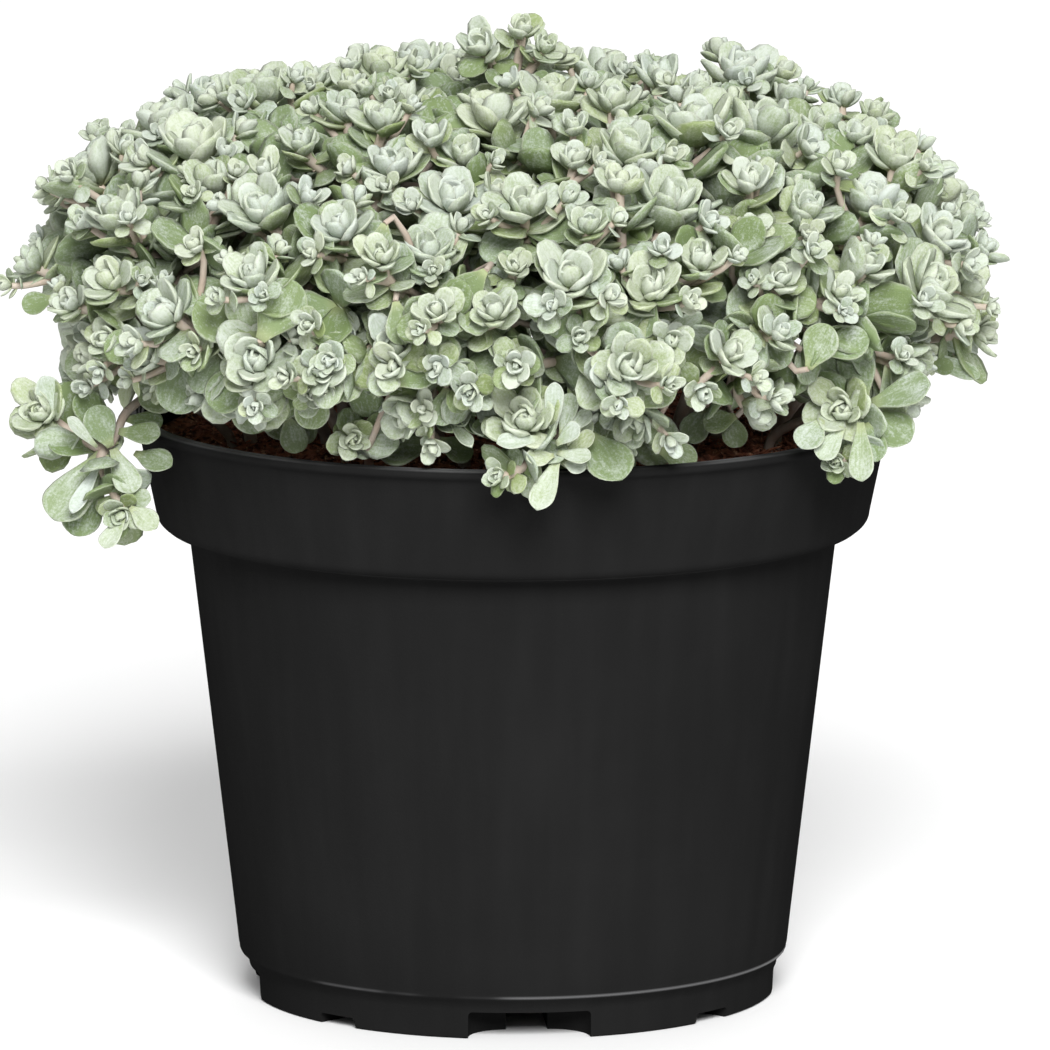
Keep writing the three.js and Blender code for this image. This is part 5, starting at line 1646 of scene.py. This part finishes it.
def crumb_tree():
    """Strews crumbs and fibres over the top of the peat."""
    tree = new_tree("peat crumbs", [
        ("Crumb Shapes", "Collection"), ("Density", "Float", 420000.0, 0.0, 1e7),
        ("Nearest", "Float", 0.026, 0.0, 1.0), ("Farthest", "Float", 0.055, 0.0, 1.0),
        ("Smallest", "Float", 0.0006, 0.0, 0.1), ("Largest", "Float", 0.0022, 0.0, 0.1),
        ("Seed", "Int", 3, 0, 1000), ("Material", "Material")])
    graph = Graph(tree)
    given = graph.node("NodeGroupInput")
    place = graph.node("GeometryNodeInputPosition").out("Position")
    middle = graph.vector("MULTIPLY", place, (1.0, 1.0, 0.0))
    reach = graph.node("ShaderNodeVectorMath", {"operation": "LENGTH"}, {0: middle}).out("Value")
    height = graph.node("ShaderNodeSeparateXYZ", None, {"Vector": place}).out("Z")

    def above(value, least):
        made = graph.node("FunctionNodeCompare", {"operation": "GREATER_THAN"}, {"A": value, "B": least})
        return made.out("Result")

    def both(one, other):
        return graph.node("FunctionNodeBooleanMath", {"operation": "AND"}, {0: one, 1: other}).out("Boolean")

    between = both(above(given.out("Farthest"), reach), above(reach, given.out("Nearest")))
    on_top = both(between, above(height, (SOIL_EDGE_HEIGHT - 4) * MM))
    strewn = graph.node("GeometryNodeDistributePointsOnFaces", None, {
        "Mesh": given.out("Geometry"), "Selection": on_top, "Density": given.out("Density"),
        "Seed": given.out("Seed")})
    shapes = graph.node("GeometryNodeCollectionInfo", None, {
        "Collection": given.out("Crumb Shapes"), "Separate Children": True, "Reset Children": True})
    size = graph.node("FunctionNodeRandomValue", {"data_type": "FLOAT"}, {
        "Min": given.out("Smallest"), "Max": given.out("Largest"), "Seed": given.out("Seed")})
    turn = graph.node("FunctionNodeRandomValue", {"data_type": "FLOAT_VECTOR"}, {
        "Min": (-0.5, -0.5, 0.0), "Max": (0.5, 0.5, 6.283), "Seed": given.out("Seed")})
    crumbs = graph.node("GeometryNodeInstanceOnPoints", None, {
        "Points": strewn.out("Points"), "Instance": shapes.out("Instances"), "Pick Instance": True,
        "Rotation": turn.out("Value"), "Scale": size.out("Value")})
    real = graph.node("GeometryNodeRealizeInstances", None, {"Geometry": crumbs.out("Instances")})
    brown = graph.node("GeometryNodeSetMaterial", None, {
        "Geometry": real.out("Geometry"), "Material": given.out("Material")})
    graph.node("NodeGroupOutput", None, {"Geometry": brown.out("Geometry")})
    return tree


# Stage

# Where each light hangs, its width and height, and the point that it shines at, in metres
KEY_LIGHT = ((0.3, -2.9, 2.0), (1.4, 1.6), (0.0, 0.0, 0.09))
BACK_LIGHT = ((0.0, 1.9, 1.7), (3.2, 1.6), (0.0, 1.5, 0.0))
# The point that the camera looks at, in metres
CAMERA_AIM = (0.0019, 0.0, 0.0735)


def looking(way):
    """The turn of a light or a camera that looks along a way."""
    return way.to_track_quat("-Z", "Y").to_euler()


def add_floor(stage):
    half = stage.floor_size / 2
    mesh = bpy.data.meshes.new("floor")
    mesh.from_pydata([(-half, -half, 0), (half, -half, 0), (half, half, 0), (-half, half, 0)],
                     [], [(0, 1, 2, 3)])
    mesh.materials.append(floor_material(stage))
    floor = in_scene("floor", mesh)


def add_light(name, place, size, aim, power):
    light = bpy.data.lights.new(name, "AREA")
    light.shape = "RECTANGLE"
    light.size, light.size_y = size
    light.energy = power
    lamp = in_scene(name, light)
    lamp.location = place
    lamp.rotation_euler = looking(Vector(aim) - Vector(place))


def add_sky(stage):
    world = bpy.data.worlds.new("even light")
    world.use_nodes = True
    sky = next(node for node in world.node_tree.nodes if node.type == "BACKGROUND")
    sky.inputs["Color"].default_value = (1.0, 1.0, 1.0, 1.0)
    sky.inputs["Strength"].default_value = stage.sky_strength
    bpy.context.scene.world = world


def add_camera(stage):
    lens = bpy.data.cameras.new("camera")
    lens.lens = stage.lens
    lens.sensor_width = 36.0
    lens.clip_start, lens.clip_end = 0.05, 50.0
    camera = in_scene("camera", lens)
    back = Vector((0.0, -math.cos(stage.elevation), math.sin(stage.elevation)))
    camera.location = Vector(CAMERA_AIM) + back * stage.distance
    camera.rotation_euler = looking(-back)
    bpy.context.scene.camera = camera


# Settings

def size_property(label, text, default):
    return bpy.props.FloatProperty(name=label, description=text, default=default, min=0.0, unit="LENGTH")


def colour_property(label, text, default):
    return bpy.props.FloatVectorProperty(name=label, description=text, default=default, size=3,
                                         min=0.0, max=1.0, subtype="COLOR")


def share_property(label, text, default):
    return bpy.props.FloatProperty(name=label, description=text, default=default, min=0.0, max=1.0,
                                   subtype="FACTOR")


class PotSettings(bpy.types.PropertyGroup):
    """Sizes and finish of the pot."""
    sides: bpy.props.IntProperty(name="Sides", description="Facets round the pot", default=160, min=24)
    lip_groove: size_property("Lip Groove", "Depth of the fine grooves on the lip", 0.00022)
    roughness: share_property("Roughness", "Roughness of the plastic", 0.42)
    gloss: share_property("Gloss", "How strongly the plastic reflects", 0.0)
    plastic: colour_property("Plastic", "Colour of the plastic", (0.0102, 0.0102, 0.0102))
    # Colour of the painted highlight in patches along the seam and the lip
    painted_edge_highlight: colour_property("Worn Edge", "Colour of rubbed edges", (0.09, 0.09, 0.092))
    plastic_haze: colour_property("Haze", "Colour where the plastic is slightly dusty", (0.013, 0.013, 0.013))


class SoilSettings(bpy.types.PropertyGroup):
    """Texture and colour of the peat."""
    clot_height: size_property("Clot Height", "Height of the clots in the peat's surface", 0.0016)
    crumb_density: bpy.props.FloatProperty(
        name="Crumb Density", description="Crumbs for each square metre", default=420000.0, min=0.0)
    peat: colour_property("Peat", "Colour of dry peat", (0.44, 0.165, 0.095))
    # Colour of the peat in the hollows of its lumps
    sunken: colour_property("Sunken", "Colour of damp peat", (0.06, 0.022, 0.014))
    fibre: colour_property("Fibre", "Colour of the fibres", (0.8, 0.48, 0.3))


class PlantSettings(bpy.types.PropertyGroup):
    """Leaves and stems."""
    leaf_size: bpy.props.FloatProperty(
        name="Leaf Size", description="Size of every leaf, as a share of the planned one", default=1.0,
        min=0.1, subtype="FACTOR")
    stem_sides: bpy.props.IntProperty(name="Stem Sides", description="Facets round a stem", default=8, min=3)
    wobble: bpy.props.FloatProperty(
        name="Wobble", description="How unevenly the leaves are set", default=0.07, min=0.0, subtype="ANGLE")
    seed: bpy.props.IntProperty(name="Seed", description="Seed of the uneven setting", default=7, min=0)
    powder_cover: share_property("Powder Cover", "How well the powder hides the flesh", 0.9)
    powder: colour_property("Powder", "Colour of the powder", (0.475, 0.518, 0.49))
    warm_powder: colour_property("Warm Powder", "Colour of the powder on warmer leaves", (0.49, 0.52, 0.39))
    young_flesh: colour_property("Young Flesh", "Colour of a young leaf", (0.3, 0.365, 0.255))
    old_flesh: colour_property("Old Flesh", "Colour of an old leaf", (0.135, 0.19, 0.075))
    warm_flesh: colour_property("Warm Flesh", "Colour that some leaves turn to", (0.3, 0.35, 0.1))
    leaf_edge: colour_property("Leaf Edge", "Colour of a leaf's edge", (0.525, 0.555, 0.45))
    leaf_foot: colour_property("Leaf Foot", "Colour of a leaf's foot", (0.38, 0.41, 0.22))
    young_stem: colour_property("Young Stem", "Colour of a young stem", (0.44, 0.36, 0.29))
    # Brown of an old stem, also darkened as painted shade near the peat
    old_stem_and_painted_shade: colour_property("Old Stem", "Colour of an old stem", (0.19, 0.135, 0.105))
    stem_scar: colour_property("Stem Scar", "Colour of the scars on a stem", (0.27, 0.17, 0.12))


class StageSettings(bpy.types.PropertyGroup):
    """Floor, light and camera."""
    floor: colour_property("Floor", "Colour of the floor", (0.86, 0.86, 0.86))
    floor_size: size_property("Floor Size", "Width of the floor", 12.0)
    key_power: bpy.props.FloatProperty(
        name="Key Power", description="Power of the large front light", default=198.0, min=0.0)
    back_power: bpy.props.FloatProperty(
        name="Back Power", description="Power of the light over the floor behind", default=26.0, min=0.0)
    sky_strength: bpy.props.FloatProperty(
        name="Sky Strength", description="Strength of the even light from all round", default=0.42, min=0.0)
    distance: size_property("Camera Distance", "From the camera to the pot's middle", 2.0)
    elevation: bpy.props.FloatProperty(
        name="Camera Elevation", description="How far the camera looks down", default=math.radians(9.8),
        subtype="ANGLE")
    lens: bpy.props.FloatProperty(
        name="Lens", description="Focal length of the camera", default=438.2, min=1.0, unit="CAMERA")


# Operators

class STONECROP_OT_pot(bpy.types.Operator):
    """Makes the black nursery pot with its beaded rim, collar and notched foot"""
    bl_idname = "stonecrop.pot"
    bl_label = "Make Pot"

    def execute(self, context):
        pot = context.scene.stonecrop_pot
        blank = turned_mesh("pot", pot_profile(pot), pot.sides)
        mesh = cut_away(blank, pot_cutters())
        mesh.name = "nursery pot"
        mesh.materials.clear()
        mesh.materials.append(plastic_material(pot))
        mesh.polygons.foreach_set("use_smooth", [True] * len(mesh.polygons))
        mesh.set_sharp_from_angle(angle=math.radians(35))
        add_piece("nursery_pot", mesh, "black_plastic", "pot")
        return {"FINISHED"}


class STONECROP_OT_peat(bpy.types.Operator):
    """Makes the peat, with crumbs and fibres on its surface"""
    bl_idname = "stonecrop.peat"
    bl_label = "Make Peat"

    def execute(self, context):
        soil = context.scene.stonecrop_soil
        material = peat_material(soil)
        mesh = peat_mesh(soil)
        mesh.materials.append(material)
        shapes = crumb_shapes()
        crumbs = grown_mesh("peat crumbs", in_scene("peat surface", mesh.copy()), crumb_tree(), {
            "Crumb Shapes": shapes, "Density": soil.crumb_density, "Material": material})
        drop(shapes)
        add_piece("peat_bed", mesh, "peat", "soil")
        add_piece("peat_crumbs", crumbs, "peat")
        return {"FINISHED"}


class STONECROP_OT_shoots(bpy.types.Operator):
    """Makes every leafy shoot in the place of its plain one"""
    bl_idname = "stonecrop.shoots"
    bl_label = "Make Leafy Shoots"

    def execute(self, context):
        plant = context.scene.stonecrop_plant
        shoots = plant_plan()
        turned_up([shoot for shoot in shoots if shoot.collar is not None])
        as_seen(shoots)
        heads = [head for shoot in shoots for head in shoot.heads]
        extras = seen_extras(shoots)
        taken = [entry[1] for group in extras.values() for entry in group if entry[0] == "offset"]
        leaf, stem = leaf_material(plant), stem_material(plant)
        shapes = bpy.data.collections.new("leaf shapes")
        for shape in LEAF_SHAPES:
            shapes.objects.link(bpy.data.objects.new(shape[0], leaf_shape(*shape)))
        tree = leafy_shoot_tree()
        foliages = [grow_shoot(shoot, heads, taken, plant) for shoot in shoots]
        for shoot, foliage in zip(shoots, foliages):
            add_extras(foliage, shoot, extras[shoot.name])
        fill_hollows(shoots, foliages)
        for shoot, foliage in zip(shoots, foliages):
            paths = paths_object(foliage)
            mesh = grown_mesh(shoot.name, points_object(foliage), tree, {
                "Leaf Shapes": shapes, "Stem Paths": paths, "Stem Sides": plant.stem_sides,
                "Leaf Wobble": plant.wobble, "Seed": plant.seed, "Leaf Material": leaf,
                "Stem Material": stem})
            bpy.data.objects.remove(paths)
            add_piece(f"leafy_{shoot.name}", mesh, "powdery_leaf", shoot.name)
        drop(shapes)
        return {"FINISHED"}


class STONECROP_OT_stage(bpy.types.Operator):
    """Makes the pale floor, the soft studio light and the camera"""
    bl_idname = "stonecrop.stage"
    bl_label = "Make Stage"

    def execute(self, context):
        stage = context.scene.stonecrop_stage
        add_floor(stage)
        add_light("key light", *KEY_LIGHT, stage.key_power)
        add_light("back light", *BACK_LIGHT, stage.back_power)
        add_sky(stage)
        add_camera(stage)
        context.scene.view_settings.view_transform = "Standard"
        return {"FINISHED"}


class STONECROP_PT_panel(bpy.types.Panel):
    """The steps in the order they are made"""
    bl_label = "Stonecrop"
    bl_idname = "STONECROP_PT_panel"
    bl_space_type = "VIEW_3D"
    bl_region_type = "UI"
    bl_category = "Stonecrop"

    def draw(self, context):
        for operator in OPERATORS:
            self.layout.operator(operator.bl_idname)


SETTINGS = {
    "stonecrop_pot": PotSettings,
    "stonecrop_soil": SoilSettings,
    "stonecrop_plant": PlantSettings,
    "stonecrop_stage": StageSettings,
}
OPERATORS = (STONECROP_OT_stage, STONECROP_OT_pot, STONECROP_OT_peat, STONECROP_OT_shoots)
CLASSES = (*SETTINGS.values(), *OPERATORS, STONECROP_PT_panel)


def register():
    for item in CLASSES:
        bpy.utils.register_class(item)
    for name, group in SETTINGS.items():
        setattr(bpy.types.Scene, name, bpy.props.PointerProperty(type=group))


def unregister():
    for name in SETTINGS:
        delattr(bpy.types.Scene, name)
    for item in reversed(CLASSES):
        bpy.utils.unregister_class(item)


def main():
    register()
    bpy.ops.stonecrop.stage()
    bpy.ops.stonecrop.pot()
    bpy.ops.stonecrop.peat()
    bpy.ops.stonecrop.shoots()
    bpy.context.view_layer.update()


if __name__ == "__main__":
    main()
